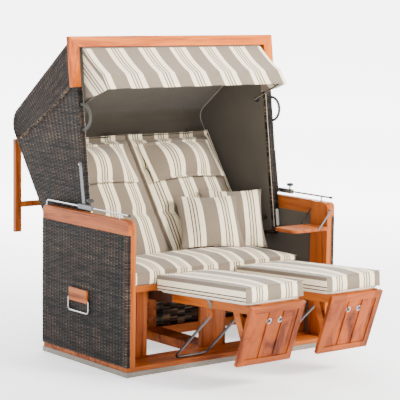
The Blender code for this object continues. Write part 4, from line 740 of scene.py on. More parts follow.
def weave_hood(material):
    """Strands on the hood: roof and back in one sheet, sides in two fields, front edges, seams."""
    path = hood_path()
    length = path_steps(path)[-1]

    def over_top(u, v):
        spot, out = along_path(path, v.ravel())
        points = np.column_stack(((2 * u.ravel() - 1) * HOOD_HALF, spot)).reshape(*u.shape, 3)
        outs = np.column_stack((np.zeros(u.size), out)).reshape(*u.shape, 3)
        return points, outs

    woven("weave_hood_top", "hood_body", over_top, round(length / ROW_PITCH),
          round(2 * HOOD_HALF / TOP_RIB_PITCH), material, 41)
    end_z = float(braid_z(BRAID_Y[2]))
    rim = hood_path(end_z=end_z)
    braid = [(Vector((y, float(braid_z(y)))), Vector((0, 1))) for y in BRAID_Y]
    foot = HOOD_WEAVE_FOOT
    tall = float(braid_z(BRAID_Y[0])) - foot
    head = HEADER_FOOT_Z - 0.001
    for sign, name in ((-1, "left"), (1, "right")):
        def upper(u, v, sign=sign):
            low = along_path(braid, u.ravel())[0]
            high = along_path(rim, u.ravel())[0]
            spot = low + (high - low) * v.ravel()[:, None]
            points = np.column_stack((np.full(u.size, sign * HOOD_HALF), spot)).reshape(*u.shape, 3)
            return points, np.broadcast_to(np.array((sign, 0.0, 0.0)), points.shape)

        def lower(u, v, sign=sign):
            z = foot + tall * v
            fore = hood_front(z) + 0.001
            aft = BACK_FOOT[0] + (z - BACK_FOOT[1]) * math.tan(BACK_LEAN)
            points = np.stack((np.full(u.shape, sign * HOOD_HALF), fore + (aft - fore) * u, z), -1)
            return points, np.broadcast_to(np.array((sign, 0.0, 0.0)), points.shape)

        def below(spot):
            y, z = spot[..., 1], spot[..., 2]
            return z < np.where(y > BRAID_Y[2], end_z, braid_z(y)) - 0.002

        woven("weave_hood_upper_" + name, "hood_body", upper, UPPER_ROWS, UPPER_RIBS, material, 51 + sign)
        woven("weave_hood_lower_" + name, "hood_body", lower, round(tall / ROW_PITCH), LOWER_RIBS, material,
              61 + sign, below)
        corner = (sign * HOOD_INNER, hood_front(foot), foot)
        rise = (0, hood_front(head) - hood_front(foot), head - foot)
        place = flat_place(corner, (sign * (HOOD_HALF - HOOD_INNER), 0, 0), rise, tuple(HOOD_FACE))
        rows = round((head - foot) / EDGE_ROW_PITCH)
        woven("weave_hood_edge_" + name, "hood_body", place, rows, 1, material, 71 + sign)
        twisted("braid_" + name, braid, np.linspace(0.005, 0.995, 150), sign * (HOOD_HALF + 0.0012),
                (sign * 0.0045, 0.0055), 0.0, 0.045, 0.0058, material, 81 + sign)
        twisted("rim_" + name, path, np.linspace(0, 1, 140), sign * (HOOD_HALF - 0.0030), (0.002, 0.002),
                0.001, 0.05, 0.0042, material, 91 + sign)


def twisted(name, path, shares, x, size, sink, lay, radius, material, seed):
    """Two strands twisted round a path on the hood's side. lay is the length of one turn."""
    spots, outs = along_path(path, shares)
    turn = 2 * math.pi / len(shares) * path_steps(path)[-1] / lay
    strands = []
    for phase in (0, math.pi):
        angle = phase + turn * np.arange(len(shares))
        middle = spots + outs * (size[1] * np.sin(angle) - sink)[:, None]
        strands.append(np.column_stack((x + size[0] * np.cos(angle), middle)).tolist())
    rope = tubes(name, strands, radius, material, "hood_body", 8)
    rng = np.random.default_rng(seed)
    count = len(rope.data.vertices)
    strand_values(rope.data, np.repeat(rng.random(count // 24 + 1), 24)[:count] * 0.7 + 0.2)


def swell(share, power=2.5):
    """1 in the middle and 0 at the seam."""
    return 1 - np.abs(share) ** power


def pad_shape(size, gusset, crown, counts, hem, channels, lip, draw, power, under_share):
    """Closed start shape of a cushion in its own axes, and the rings of its two seams."""
    width, length = size
    across, along = counts
    under = crown * under_share if hem > 0 else 0.0
    side = hem if hem > 0 else gusset
    top = under + side + crown
    i, j = np.meshgrid(np.arange(across + 1), np.arange(along + 1), indexing="ij")
    u = np.sin(np.pi * (i / across - 0.5))
    v = np.sin(np.pi * (j / along - 0.5))
    x = u * width / 2 * (1 - draw * swell(v, 2))
    y = v * length / 2 * (1 - draw * swell(u, 2))
    bulge = swell(u, power) * swell(v, power)
    high = under + side + crown * bulge
    for share in channels:
        high = high - CHANNEL_DEPTH * np.exp(-(((v - share) / CHANNEL_WIDTH_SHARE) ** 2)) * swell(u, 8)
    low = under * (1 - bulge)
    reach = lip * np.maximum(0, -v) ** 2 / top
    upper = np.stack((x, y - reach * high, high), -1).reshape(-1, 3)
    lower = np.stack((x, y - reach * low, low), -1).reshape(-1, 3)
    count = upper.shape[0]
    step = along + 1
    faces = []
    for a in range(across):
        for b in range(along):
            k = a * step + b
            faces.append((k, k + step, k + step + 1, k + 1))
            faces.append((count + k, count + k + 1, count + k + step + 1, count + k + step))
    ring = [a * step for a in range(across)] + [across * step + b for b in range(along)]
    ring += [a * step + along for a in range(across, 0, -1)] + [b for b in range(along, 0, -1)]
    for k, n in zip(ring, ring[1:] + ring[:1]):
        faces.append((k, count + k, count + n, n))
    return np.concatenate((upper, lower)), faces, [upper[k] for k in ring], [lower[k] for k in ring]


def read(items, key, width=1, kind=float):
    """One property of a mesh's vertices, faces or corners, as an array."""
    data = np.empty(len(items) * width, kind)
    items.foreach_get(key, data)
    return data.reshape(-1, width) if width > 1 else data


def mesh_points(item):
    """Vertex places of the object's mesh."""
    return read(item.data.vertices, "co", 3)


def put_points(item, spots):
    """Write vertex places back to the object's mesh."""
    item.data.vertices.foreach_set("co", spots.ravel())
    item.data.update()


def evaluated_points(item):
    """Vertex places after the object's modifiers."""
    evaluated = item.evaluated_get(bpy.context.evaluated_depsgraph_get())
    spots = read(evaluated.to_mesh().vertices, "co", 3)
    evaluated.to_mesh_clear()
    return spots


def apply_modifiers(item):
    """Keep the evaluated mesh and drop the modifiers."""
    bpy.context.view_layer.update()
    evaluated = item.evaluated_get(bpy.context.evaluated_depsgraph_get())
    mesh = bpy.data.meshes.new_from_object(evaluated)
    item.modifiers.clear()
    item.data = mesh


def inflate(item, fixed, cap):
    """Blow a remeshed pad up as cloth under pressure, its seams held, each point's move capped."""
    before = mesh_points(item)
    pins = item.vertex_groups.new(name="seams")
    held = np.nonzero(fixed(before))[0]
    pins.add([int(k) for k in held], 1.0, "REPLACE")
    cloth = item.modifiers.new("cloth", "CLOTH")
    settings = cloth.settings
    settings.quality = 4
    settings.mass = 0.3
    settings.tension_stiffness = 12
    settings.compression_stiffness = 12
    settings.shear_stiffness = 4
    settings.bending_stiffness = 0.35
    settings.use_pressure = True
    settings.uniform_pressure_force = 4.0
    settings.vertex_group_mass = "seams"
    settings.effector_weights.gravity = 0.0
    cloth.point_cache.frame_start = 1
    cloth.point_cache.frame_end = SIM_FRAMES
    scene = bpy.context.scene
    for number in range(1, SIM_FRAMES + 1):
        scene.frame_set(number)
    after = evaluated_points(item)
    item.modifiers.clear()
    scene.frame_set(1)
    move = after - before
    size = np.linalg.norm(move, axis=1, keepdims=True)
    move *= np.minimum(1.0, cap / np.maximum(size, 1e-9))
    return before + move


def cushion(name, body, node, frame_at, size, gusset, crown, counts, voxel, offset, seed, cap=0.008, hem=0.0,
            channels=(), lip=0.0, base=0.0, flange=0.0, draw=0.018, power=2.5, under_share=1.0,
            pitch=STRIPE_PITCH, side_start=None, wrinkle=0.0012, rests_on=None):
    """Stuffed cushion: start shape, pressure, stripes and its seams, set in place."""
    origin, across, along, up = frame_at
    inner = (size[0] - 2 * flange, size[1] - 2 * flange)
    shape, faces, upper_ring, lower_ring = pad_shape(
        inner, gusset, crown, counts, hem, channels, lip, draw, power, under_share)
    item = piece(name, shape.tolist(), faces, CLOTH)
    turn_outward(item)
    remesh = item.modifiers.new("remesh", "REMESH")
    remesh.mode = "VOXEL"
    remesh.voxel_size = voxel
    apply_modifiers(item)
    rings = np.array(upper_ring) if hem > 0 else np.concatenate((upper_ring, lower_ring))
    half_x, half_y = inner[0] / 2, inner[1] / 2

    def fixed(spots):
        seam = np.zeros(len(spots), bool)
        for start in range(0, len(spots), BATCH):
            part = spots[start:start + BATCH]
            gap = np.linalg.norm(part[:, None, :] - rings[None, :, :], axis=2).min(axis=1)
            seam[start:start + BATCH] = gap < voxel * 0.9
        for share in channels:
            seam |= (np.abs(spots[:, 1] - share * half_y) < voxel * 0.6) & (spots[:, 2] > gusset * 0.6)
        if hem == 0:
            seam |= spots[:, 2] < voxel * 0.6
        return seam

    spots = inflate(item, fixed, cap)
    top = shape[:, 2].max()
    rng = np.random.default_rng(seed)
    waves = rng.normal(size=(6, 3)) * np.array((26, 26, 0))
    phases = rng.random(6) * 2 * np.pi
    ripple = sum(np.sin(spots @ wave + phase) for wave, phase in zip(waves, phases)) / 6
    spots[:, 2] += wrinkle * ripple * np.clip(spots[:, 2] / top, 0, 1)
    spots[:, 2] = np.clip(spots[:, 2], base, top + 0.006)
    if side_start is not None:
        spots[:, 0] = np.clip(spots[:, 0], -half_x, half_x)
    put_points(item, spots)
    finer = item.modifiers.new("finer", "SUBSURF")
    finer.levels = 1
    finer.render_levels = 1
    apply_modifiers(item)
    item.data.shade_smooth()
    stripe_pad(item.data, (half_x, half_y), gusset if hem == 0 else 0.0, offset, pitch, side_start)
    parts = [item]
    if flange > 0:
        parts.append(flange_piece(name + "_flange", upper_ring, half_x, half_y, flange, offset, pitch, seed))
    elif hem == 0:
        loop = [Vector(p) + Vector((0, 0, 0.0004)) for p in upper_ring]
        parts.append(welt_piece(name + "_welt", loop, 0.0017, offset, pitch))
    else:
        loop = [Vector((p[0], p[1], p[2] - hem / 2)) for p in upper_ring]
        parts.append(welt_piece(name + "_welt", loop, 0.0022, offset, pitch))
    if rests_on is not None:
        lay_on(parts, rests_on, frame_at, size)
    matrix = Matrix((across, along, up)).transposed().to_4x4()
    matrix.translation = origin
    for part in parts:
        part.data.transform(matrix)
        part.data.update()
    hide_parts(node)
    if body is not None:
        for part in parts:
            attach(part, body)
    return parts


def mesh_tree(item):
    """Search tree over an object's mesh."""
    mesh = item.data
    return BVHTree.FromPolygons([v.co for v in mesh.vertices], [tuple(p.vertices) for p in mesh.polygons])


def lay_on(parts, below, frame_at, size):
    """Bend a pillow's pieces to the smooth shape of the cushion that it lies on."""
    origin, across, along, up = frame_at
    tree = mesh_tree(below)
    terms, heights = [], []
    for x in np.linspace(-size[0] / 2, size[0] / 2, 25):
        for y in np.linspace(-size[1] / 2, size[1] / 2, 17):
            start = origin + across * x + along * y + up * SEARCH
            hit = tree.ray_cast(start, -up, 2 * SEARCH)[0]
            if hit is not None:
                terms.append((1, x, y, x * x, y * y))
                heights.append((hit - origin).dot(up))
    terms, heights = np.array(terms), np.array(heights)
    fit = np.linalg.lstsq(terms, heights, rcond=None)[0]
    lift = np.max(heights - terms @ fit) + PILLOW_GAP
    for part in parts:
        spots = mesh_points(part)
        x, y = spots[:, 0], spots[:, 1]
        spots[:, 2] += np.stack((np.ones(len(x)), x, y, x * x, y * y), -1) @ fit + lift
        put_points(part, spots)


def settle(parts, trees, direction, room=PILLOW_GAP):
    """Move pieces along a direction until they lie on the meshes of the search trees."""
    gaps = []
    for spot in mesh_points(parts[0])[::3]:
        start = Vector(spot) - direction * SEARCH
        for tree in trees:
            distance = tree.ray_cast(start, direction, 2 * SEARCH)[3]
            if distance is not None:
                gaps.append(distance - SEARCH)
    if gaps:
        shift = direction * (min(gaps) - room)
        for part in parts:
            part.data.transform(Matrix.Translation(shift))
            part.data.update()


def stripe_pad(mesh, half, gusset, offset, pitch, side_start):
    """Stripes along a cushion's faces and down its ends. side_start lays them along its sides."""
    facing = np.repeat(read(mesh.polygons, "normal", 3), read(mesh.polygons, "loop_total", kind=int), axis=0)
    spots = read(mesh.vertices, "co", 3)[read(mesh.loops, "vertex_index", kind=int)]
    drop = np.clip(gusset - spots[:, 2], 0, None)
    sideways = (np.abs(facing[:, 0]) > 0.7) & (gusset > 0)
    endways = (np.abs(facing[:, 1]) > 0.7) & (gusset > 0)
    metric_u = np.where(sideways, np.sign(spots[:, 0]) * (half[0] + drop), spots[:, 0])
    metric_v = spots[:, 1] - np.where(endways, drop, 0)
    turns = (metric_u - offset) / pitch
    if side_start is not None:
        turns = np.where(sideways, (drop - side_start) / pitch, turns)
    cloth_values(mesh, turns, metric_u, metric_v, "CORNER")


def cloth_values(mesh, turns, metric_u, metric_v, domain="POINT"):
    """Store the stripes' turns and the cloth's own metres on the mesh."""
    data = np.column_stack((turns, metric_u, metric_v)).astype(np.float32)
    attribute = mesh.attributes.new("cloth", "FLOAT_VECTOR", domain)
    attribute.data.foreach_set("vector", data.ravel())


def welt_piece(name, loop, radius, offset, pitch):
    """Sewn seam that runs round a cushion."""
    path = loop + loop[:1]
    vertices, faces = tube_parts(path, radius, 6)
    item = piece(name, vertices, faces, CLOTH)
    turn_outward(item)
    spots = np.array([tuple(v) for v in vertices])
    cloth_values(item.data, (spots[:, 0] - offset) / pitch, spots[:, 0], spots[:, 1])
    return item


def flange_piece(name, ring, half_x, half_y, flange, offset, pitch, seed):
    """Flat hem that stands out round a pillow, with a stitched line and a slight wave."""
    rng = np.random.default_rng(seed + 100)
    phases = rng.random(3) * 2 * math.pi
    rows = ((-0.004, 0.0), (0.004, 0.0), (0.0055, -0.0012), (0.007, 0.0), (flange, 0.0))
    vertices, faces = [], []
    count = len(ring)
    for side in (1, -1):
        for reach, dip in rows:
            for k, point in enumerate(ring):
                x = point[0] + reach * np.clip(point[0] / half_x * 1.15, -1, 1) ** 5
                y = point[1] + reach * np.clip(point[1] / half_y * 1.15, -1, 1) ** 5
                share = max(0.0, reach / flange)
                wave = sum(math.sin((4 + n) * 2 * math.pi * k / count + phases[n]) for n in range(3))
                z = point[2] - 0.003 + side * (0.0016 + dip) + 0.0022 * share * wave
                vertices.append((x, y, z))
    band = len(rows)
    for side in range(2):
        for r in range(band - 1):
            faces += belt((side * band + r) * count, (side * band + r + 1) * count, count)
    for r in (0, band - 1):
        faces += belt(r * count, (band + r) * count, count)
    item = piece(name, vertices, faces, CLOTH)
    turn_outward(item)
    spots = np.array(vertices)
    cloth_values(item.data, (spots[:, 0] - offset) / pitch, spots[:, 0], spots[:, 1])
    return item


def rounded_slab(name, frame_at, size, thickness, radius, material):
    """Thin slab with round corners and eased edges, from its middle."""
    origin, across, along, up = frame_at
    outline = []
    reach_x, reach_y = size[0] / 2 - radius, size[1] / 2 - radius
    steps = 6
    for quarter, (side_x, side_y) in enumerate(((1, 1), (-1, 1), (-1, -1), (1, -1))):
        for i in range(steps + 1):
            angle = math.pi / 2 * (quarter + i / steps)
            x = side_x * reach_x + radius * math.cos(angle)
            y = side_y * reach_y + radius * math.sin(angle)
            outline.append((x, y))
    bm = bmesh.new()
    lower = [bm.verts.new(origin + across * x + along * y) for x, y in outline]
    upper = [bm.verts.new(origin + across * x + along * y + up * thickness) for x, y in outline]
    bm.faces.new(list(reversed(lower)))
    bm.faces.new(upper)
    for i in range(len(outline)):
        j = (i + 1) % len(outline)
        bm.faces.new((lower[i], lower[j], upper[j], upper[i]))
    rims = [e for e in bm.edges if abs((e.verts[0].co - e.verts[1].co).dot(up)) < thickness / 10]
    bmesh.ops.bevel(bm, geom=rims, offset=min(thickness * 0.35, radius), segments=2, affect="EDGES")
    bmesh.ops.recalc_face_normals(bm, faces=list(bm.faces))
    mesh = bpy.data.meshes.new(name)
    bm.to_mesh(mesh)
    bm.free()
    mesh.shade_smooth()
    mesh.set_sharp_from_angle(angle=math.radians(40))
    item = bpy.data.objects.new(name, mesh)
    bpy.context.scene.collection.objects.link(item)
    mesh.materials.append(material)
    return item


def make_cushions():
    """Seat cushion, back cushions, neck pillows, footrest cushions and throw pillows."""
    middle = Vector((*SEAT_PAD_MIDDLE, SEAT_TOP + GAP))
    seat = cushion("seat_pad", "base", "seat_cushion", (middle, ACROSS, REARWARD, UPWARD), SEAT_PAD_SIZE,
                   0.064, 0.031, (60, 26), 0.0095, -0.423, 3, pitch=0.1725, power=6, wrinkle=0.0016)
    trees = [mesh_tree(seat[0])]
    base = LINING_DEPTH + GAP
    length = BACK_PAD_END - BACK_PAD_START
    channels = [2 * (at - BACK_PAD_START) / length - 1 for at in BACK_PAD_CHANNELS]
    backs = []
    for sign, name, back_start, neck_start, neck_middle in SIDES:
        origin = back_point(sign * BACK_PAD_MIDDLE, BACK_PAD_START + length / 2, base)
        parts = cushion("back_pad_" + name, "hood_body", "back_cushion_" + name,
                        (origin, ACROSS, BACK_UP, BACK_FACE), (BACK_PAD_WIDTH, length), 0.052, 0.05, (40, 60),
                        0.0095, back_start, 5 + sign, cap=0.009, channels=channels, lip=0.035)
        backs.append(mesh_tree(parts[0]))
        for part in parts:
            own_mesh(part)
        origin = back_point(neck_middle, NECK_PAD_HEIGHT, base)
        cushion("neck_pad_" + name, "hood_body", "neck_pillow_" + name, (origin, ACROSS, BACK_UP, BACK_FACE),
                NECK_PAD_SIZE, 0.0, 0.054, (40, 24), 0.0065, neck_start, 9 + sign, cap=0.006, hem=0.008,
                flange=0.016, draw=0.012, power=2.0, under_share=0.2, rests_on=parts[0])
        origin = rest_point(sign * REST_OFFSET, REST_PAD_START + REST_PAD_SIZE[1] / 2, GAP)
        rest_frame = (origin, ACROSS, REST_OUT, REST_UP)
        parts = cushion("rest_pad_" + name, None, "footrest_cushion_" + name, rest_frame, REST_PAD_SIZE,
                        0.084, 0.011, (30, 50), 0.0085, -0.141, 13 + sign, cap=0.006, base=0.0098, power=4,
                        pitch=0.183, side_start=0.018)
        liner = rounded_slab("rest_liner_" + name, rest_frame, REST_LINER_SIZE, REST_LINER_THICKNESS,
                             REST_LINER_ROUND, BEIGE)
        for part in parts + [liner]:
            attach(part, "footrest_body_" + name)
            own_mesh(part)
    trees += backs
    for name, foot, yaw, lean, seed, start in THROW_PILLOWS:
        along = Vector((math.sin(lean) * math.sin(yaw), math.sin(lean) * math.cos(yaw), math.cos(lean)))
        across = Vector((math.cos(yaw), -math.sin(yaw), 0))
        face = across.cross(along)
        origin = Vector((*foot, THROW_START_Z)) + along * THROW_MIDDLE[0] - face * THROW_MIDDLE[1]
        parts = cushion("loose_" + name, "base", "throw_" + name, (origin, across, along, face), THROW_SIZE,
                        0.0, 0.046, (30, 30), 0.0065, start, seed, cap=0.006, hem=0.006, draw=0.09,
                        wrinkle=0.0026)
        settle(parts, trees[:1], -UPWARD)
        settle(parts, trees[1:], REARWARD, PILLOW_ROOM)
        settle(parts, trees[:1], -UPWARD)
        trees.append(mesh_tree(parts[0]))


def make_awning():
    """Awning sheet with side pieces, a hem and slight folds, from the header to the bow."""
    top, crease, hem = Vector((0, 0.16, 1.6033)), Vector((0, -0.024, 1.474)), Vector((0, -0.076, 1.404))
    half = 0.5885
    rows_roof, rows_fall, wide, wide_side = 22, 12, 170, 14
    slope = (top - crease).length
    fall = (hem - crease).normalized()
    fall_out = Vector((0, fall.z, -fall.y))
    roof = (crease - top).normalized()
    roof_out = Vector((0, roof.z, -roof.y))
    rng = np.random.default_rng(77)
    phases = rng.random(8) * 2 * math.pi

    def folds_at(x, length):
        return sum(math.sin((5 + 3 * n) * x * 2 + phases[n] + length * (6 + 4 * n)) for n in range(4)) / 4

    line = []
    run = 0.0
    for i in range(rows_roof):
        share = i / rows_roof
        line.append((top.lerp(crease, share) - UPWARD * (0.010 * math.sin(math.pi * share)), 0.0, run))
        run += slope / rows_roof
    for i in range(rows_fall + 1):
        share = i / rows_fall
        line.append((crease.lerp(hem, share), share, run))
        run += (crease - hem).length / rows_fall
    vertices, values, faces = [], [], []
    count = len(line)
    for i in range(wide + 1):
        share = i / wide
        x = half * (2 * share - 1)
        ripple = 0.0040 * (1 - math.cos(2 * math.pi * 6 * share)) / 2
        for point, fallen, length in line:
            soft = math.sin(math.pi * min(1.0, length / 0.225))
            folds = folds_at(x, length)
            pucker = math.sin(95 * x + phases[5]) * math.sin(37 * x + phases[6])
            pucker *= math.exp(-(((length - slope) / 0.018) ** 2))
            place = point + ACROSS * x + fall_out * (ripple * fallen + 0.0008 * folds * fallen)
            place += roof_out * (0.0026 * folds * soft * (1 - fallen) + 0.0016 * pucker)
            vertices.append(place)
            values.append((0.0, x, length))
    for i in range(wide):
        for j in range(count - 1):
            a = i * count + j
            faces.append((a, a + 1, a + count + 1, a + count))
    rear = Vector((0, 0.135, 1.345))
    for sign, first in ((-1, 0), (1, wide * count)):
        previous = [first + j for j in range(count)]
        for k in range(1, wide_side + 1):
            share = k / wide_side
            current = []
            for j, (point, fallen, length) in enumerate(line):
                target = rear + Vector((sign * half, 0, 0))
                start = vertices[first + j]
                place = start.lerp(target, share * 0.985)
                bow = math.sin(math.pi * share)
                place += ACROSS * (sign * -0.0015 * bow * (1 + math.sin(9 * length + phases[4])))
                place -= UPWARD * (0.008 * bow * fallen)
                depth = roof_out.dot(top + ACROSS * place.x - place)
                current.append(len(vertices))
                vertices.append(place)
                values.append(((depth - AWNING_SIDE_START) / AWNING_PITCH, depth, length))
            for j in range(count - 1):
                quad = (previous[j], previous[j + 1], current[j + 1], current[j])
                faces.append(quad if sign > 0 else tuple(reversed(quad)))
            previous = current
    item = piece("awning_cloth", vertices, faces, CLOTH)
    corners = np.array([k for face in faces for k in face])
    data = np.array(values)[corners]
    number = np.arange(len(faces))
    top_faces = number < wide * (count - 1)
    on_top = np.repeat(top_faces, 4)
    edge = (number % (count - 1) == 0) & top_faces
    middle = np.array([vertices[k].x for k in corners])
    turns = np.where(on_top, (middle - AWNING_START) / AWNING_PITCH, data[:, 0])
    at_seam = ~on_top & (np.abs(data[:, 1]) > half - 0.001)
    turns = np.where(at_seam, -AWNING_SIDE_START / AWNING_PITCH, turns)
    turns = np.where(np.repeat(edge, 4), PLAIN_TURN, turns)
    cloth_values(item.data, turns, data[:, 1], data[:, 2], "CORNER")
    shell = item.modifiers.new("thickness", "SOLIDIFY")
    shell.thickness = 0.0014
    shell.offset = 0
    apply_modifiers(item)
    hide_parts("awning")
    hems = []
    for level, out in ((0, 0.0011), (3, 0.0012)):
        path = [vertices[i * count + count - 1 - level] + fall_out * out for i in range(0, wide + 1, 2)]
        hems.append(path)
    vertices, faces = [], []
    for path, radius in zip(hems, (0.0019, 0.0006)):
        more, skin = tube_parts(path, radius, 6, len(vertices))
        vertices += more
        faces += skin
    seam = piece("awning_hem", vertices, faces, CLOTH)
    turn_outward(seam)
    spots = np.array([tuple(v) for v in vertices])
    cloth_values(seam.data, (spots[:, 0] - AWNING_START) / AWNING_PITCH, spots[:, 0], spots[:, 2])
    for part in (item, seam):
        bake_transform(part)


def make_fittings():
    """Screws, grommets, bumpers, ties, bands, tips and piping."""
    screws = []
    for x in np.linspace(-STRIP_SPAN[0], STRIP_SPAN[0], 9):
        screws.append(((x, FRONT - PROUD, STRIP_Z), (0, -1, 0)))
        screws.append(((x, REAR + PROUD, STRIP_Z), (0, 1, 0)))
    for sign in (-1, 1):
        for y in np.linspace(-STRIP_SPAN[1], STRIP_SPAN[1], 6):
            screws.append(((sign * (HALF_WIDTH + PROUD), y, STRIP_Z), (sign, 0, 0)))
    domes("strip_screws", screws, 0.0042, 0.0016, STEEL_BRIGHT, "base")
    places = [(sign * POST_SCREW_X, z) for sign in (-1, 1) for z in (0.10, 0.35, 0.60)]
    caps = [((x, FRONT - PROUD, z), (0, -1, 0)) for x, z in places]
    domes("post_screws", caps, 0.0038, 0.0014, STEEL_BRIGHT, "base")
    for sign, name in ((-1, "left"), (1, "right")):
        spots = [((sign * 0.6535, 0.085, 1.015), (sign, 0, 0))]
        domes("strap_bolt_" + name, spots, 0.0068, 0.0026, STEEL_BRIGHT,
              "strap_body_" + name)
        bumper(name, sign * BUMPER_X)
        tip = [(sign * ROD_X, y, ROD_Z) for y in (-0.3645, -0.367, -0.376, -0.378)]
        vertices, faces = tube_parts(tip, [0.0052, 0.0068, 0.0066, 0.004], 16)
        cap = piece("rod_tip_" + name, vertices, faces, BLACK)
        turn_outward(cap)
        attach(cap, "base")
        flap_grommets(name, sign)
        elastic_band(name, sign)
    piping()
    ties()


def bumper(name, x):
    """Pale oval pad low on the hood's front edge."""
    half, radius, thickness = 0.048, 0.0105, 0.0075
    middle = Vector((x, hood_front(BUMPER_Z), BUMPER_Z)) + HOOD_FACE * 0.0032
    rings, sides = 12, 20
    vertices = []
    for i in range(rings + 1):
        turn = math.pi / 2 * i / rings
        shrink, rise = math.cos(turn), math.sin(turn) ** 0.8
        for angle in angles(sides):
            end = (half - radius) * (1 if math.sin(angle) > 0 else -1) * min(1, abs(math.sin(angle)) * 4)
            spot = middle + ACROSS * (radius * math.cos(angle) * shrink)
            spot += HOOD_UP * (end + radius * math.sin(angle) * shrink) + HOOD_FACE * (thickness * rise)
            vertices.append(spot)
    item = piece("bumper_" + name, vertices, ring_faces(0, rings + 1, sides), PALE_RUBBER)
    turn_outward(item)
    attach(item, "hood_body")


def flap_frame(sign):
    """Origin and axes of a flap: its middle at the top edge, across, down and out of its face."""
    lean = FLAP_LEAN + REST_PITCH
    face = REST_OUT * math.cos(lean) - REST_UP * math.sin(lean)
    down = -REST_OUT * math.sin(lean) - REST_UP * math.cos(lean)
    return rest_point(sign * REST_OFFSET, 0.648, -0.012), down, face


def flap_grommets(name, sign):
    """Two ringed finger holes in each flap, each with a dark disc of painted shade inside."""
    origin, down, face = flap_frame(sign)
    around, sides = 32, 10
    rings, skin, holes, hole_shade_faces = [], [], [], []
    for x in (-0.0355, 0.0355):
        middle = origin + ACROSS * x + down * 0.085 - face * 0.005
        outs = [ACROSS * math.cos(angle) + down * math.sin(angle) for angle in angles(around)]
        start = len(rings)
        for i, out in enumerate(outs):
            for turn in angles(sides):
                reach, rise = 0.0125 + 0.0038 * math.cos(turn), 0.0016 * math.sin(turn) + 0.0008
                rings.append(middle + out * reach + face * rise)
            skin += belt(start + i * sides, start + (i + 1) % around * sides, sides)
        hole_shade_faces += ring_faces(len(holes), 2, around)
        for rise in (0.0003, 0.0009):
            holes += [middle + out * 0.0105 + face * rise for out in outs]
    ring = piece("grommets_" + name, rings, skin, STEEL_BRIGHT)
    # Painted shade: a dark disc sits in each finger hole.
    hole = piece("grommet_hole_shade_" + name, holes, hole_shade_faces, DARK, smooth=False)
    for item in (ring, hole):
        turn_outward(item)
        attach(item, "footrest_body_" + name)


def elastic_band(name, sign):
    """Grey elastic that holds the footrest cushion down, round the tray's rails."""
    vertices, faces = [], []
    for toward in (-1, 1):
        faces += ring_faces(len(vertices), len(ELASTIC_ROUTE), len(ELASTIC_SECTION))
        for aside, up in ELASTIC_ROUTE:
            for out, thick in ELASTIC_SECTION:
                x = sign * REST_OFFSET + toward * (aside + thick)
                vertices.append(rest_point(x, out, up - thick * 0.2))
    item = piece("elastic_" + name, vertices, faces, ELASTIC, smooth=False)
    turn_outward(item)
    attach(item, "footrest_body_" + name)


def piping():
    """Pale piping along the lining's seams and round the hood's opening."""
    path = hood_path(LINING_DEPTH + 0.0016, start_y=0.190)
    spots = along_path(path, np.linspace(0.0, 0.97, 70))[0]
    levels = np.linspace(0.60, 1.40, 40)
    runs = []
    for sign in (-1, 1):
        runs.append([(sign * (HOOD_ROOM - 0.0016), y, z) for y, z in spots])
        runs.append([(sign * (HOOD_INNER - 0.004), hood_front(z) + 0.0065, z) for z in levels])
    tubes("lining_piping", runs, 0.0020, PIPING, "hood_body", 8)


def ties():
    """Dark ties at the top of the back cushions."""
    loops = []
    for x in TIE_PLACES:
        spot = back_point(x, BACK_PAD_END + 0.006, LINING_DEPTH + 0.05)
        for lean in (-1, 1):
            loop = []
            for i in range(15):
                angle = math.pi * i / 14
                aside = ACROSS * (lean * 0.016 * math.sin(angle))
                rise = BACK_UP * (0.012 * math.sin(2 * angle) + 0.002)
                loop.append(spot + aside + rise - BACK_FACE * (0.006 * (1 - math.sin(angle))))
            loops.append(loop)
        foot = back_point(x, BACK_PAD_END + 0.022, LINING_DEPTH + 0.0029)
        loops.append([spot - BACK_UP * 0.004, spot + BACK_UP * 0.008 - BACK_FACE * 0.018, foot])
    tubes("cushion_ties", loops, 0.0019, DARK, "hood_body", 8)


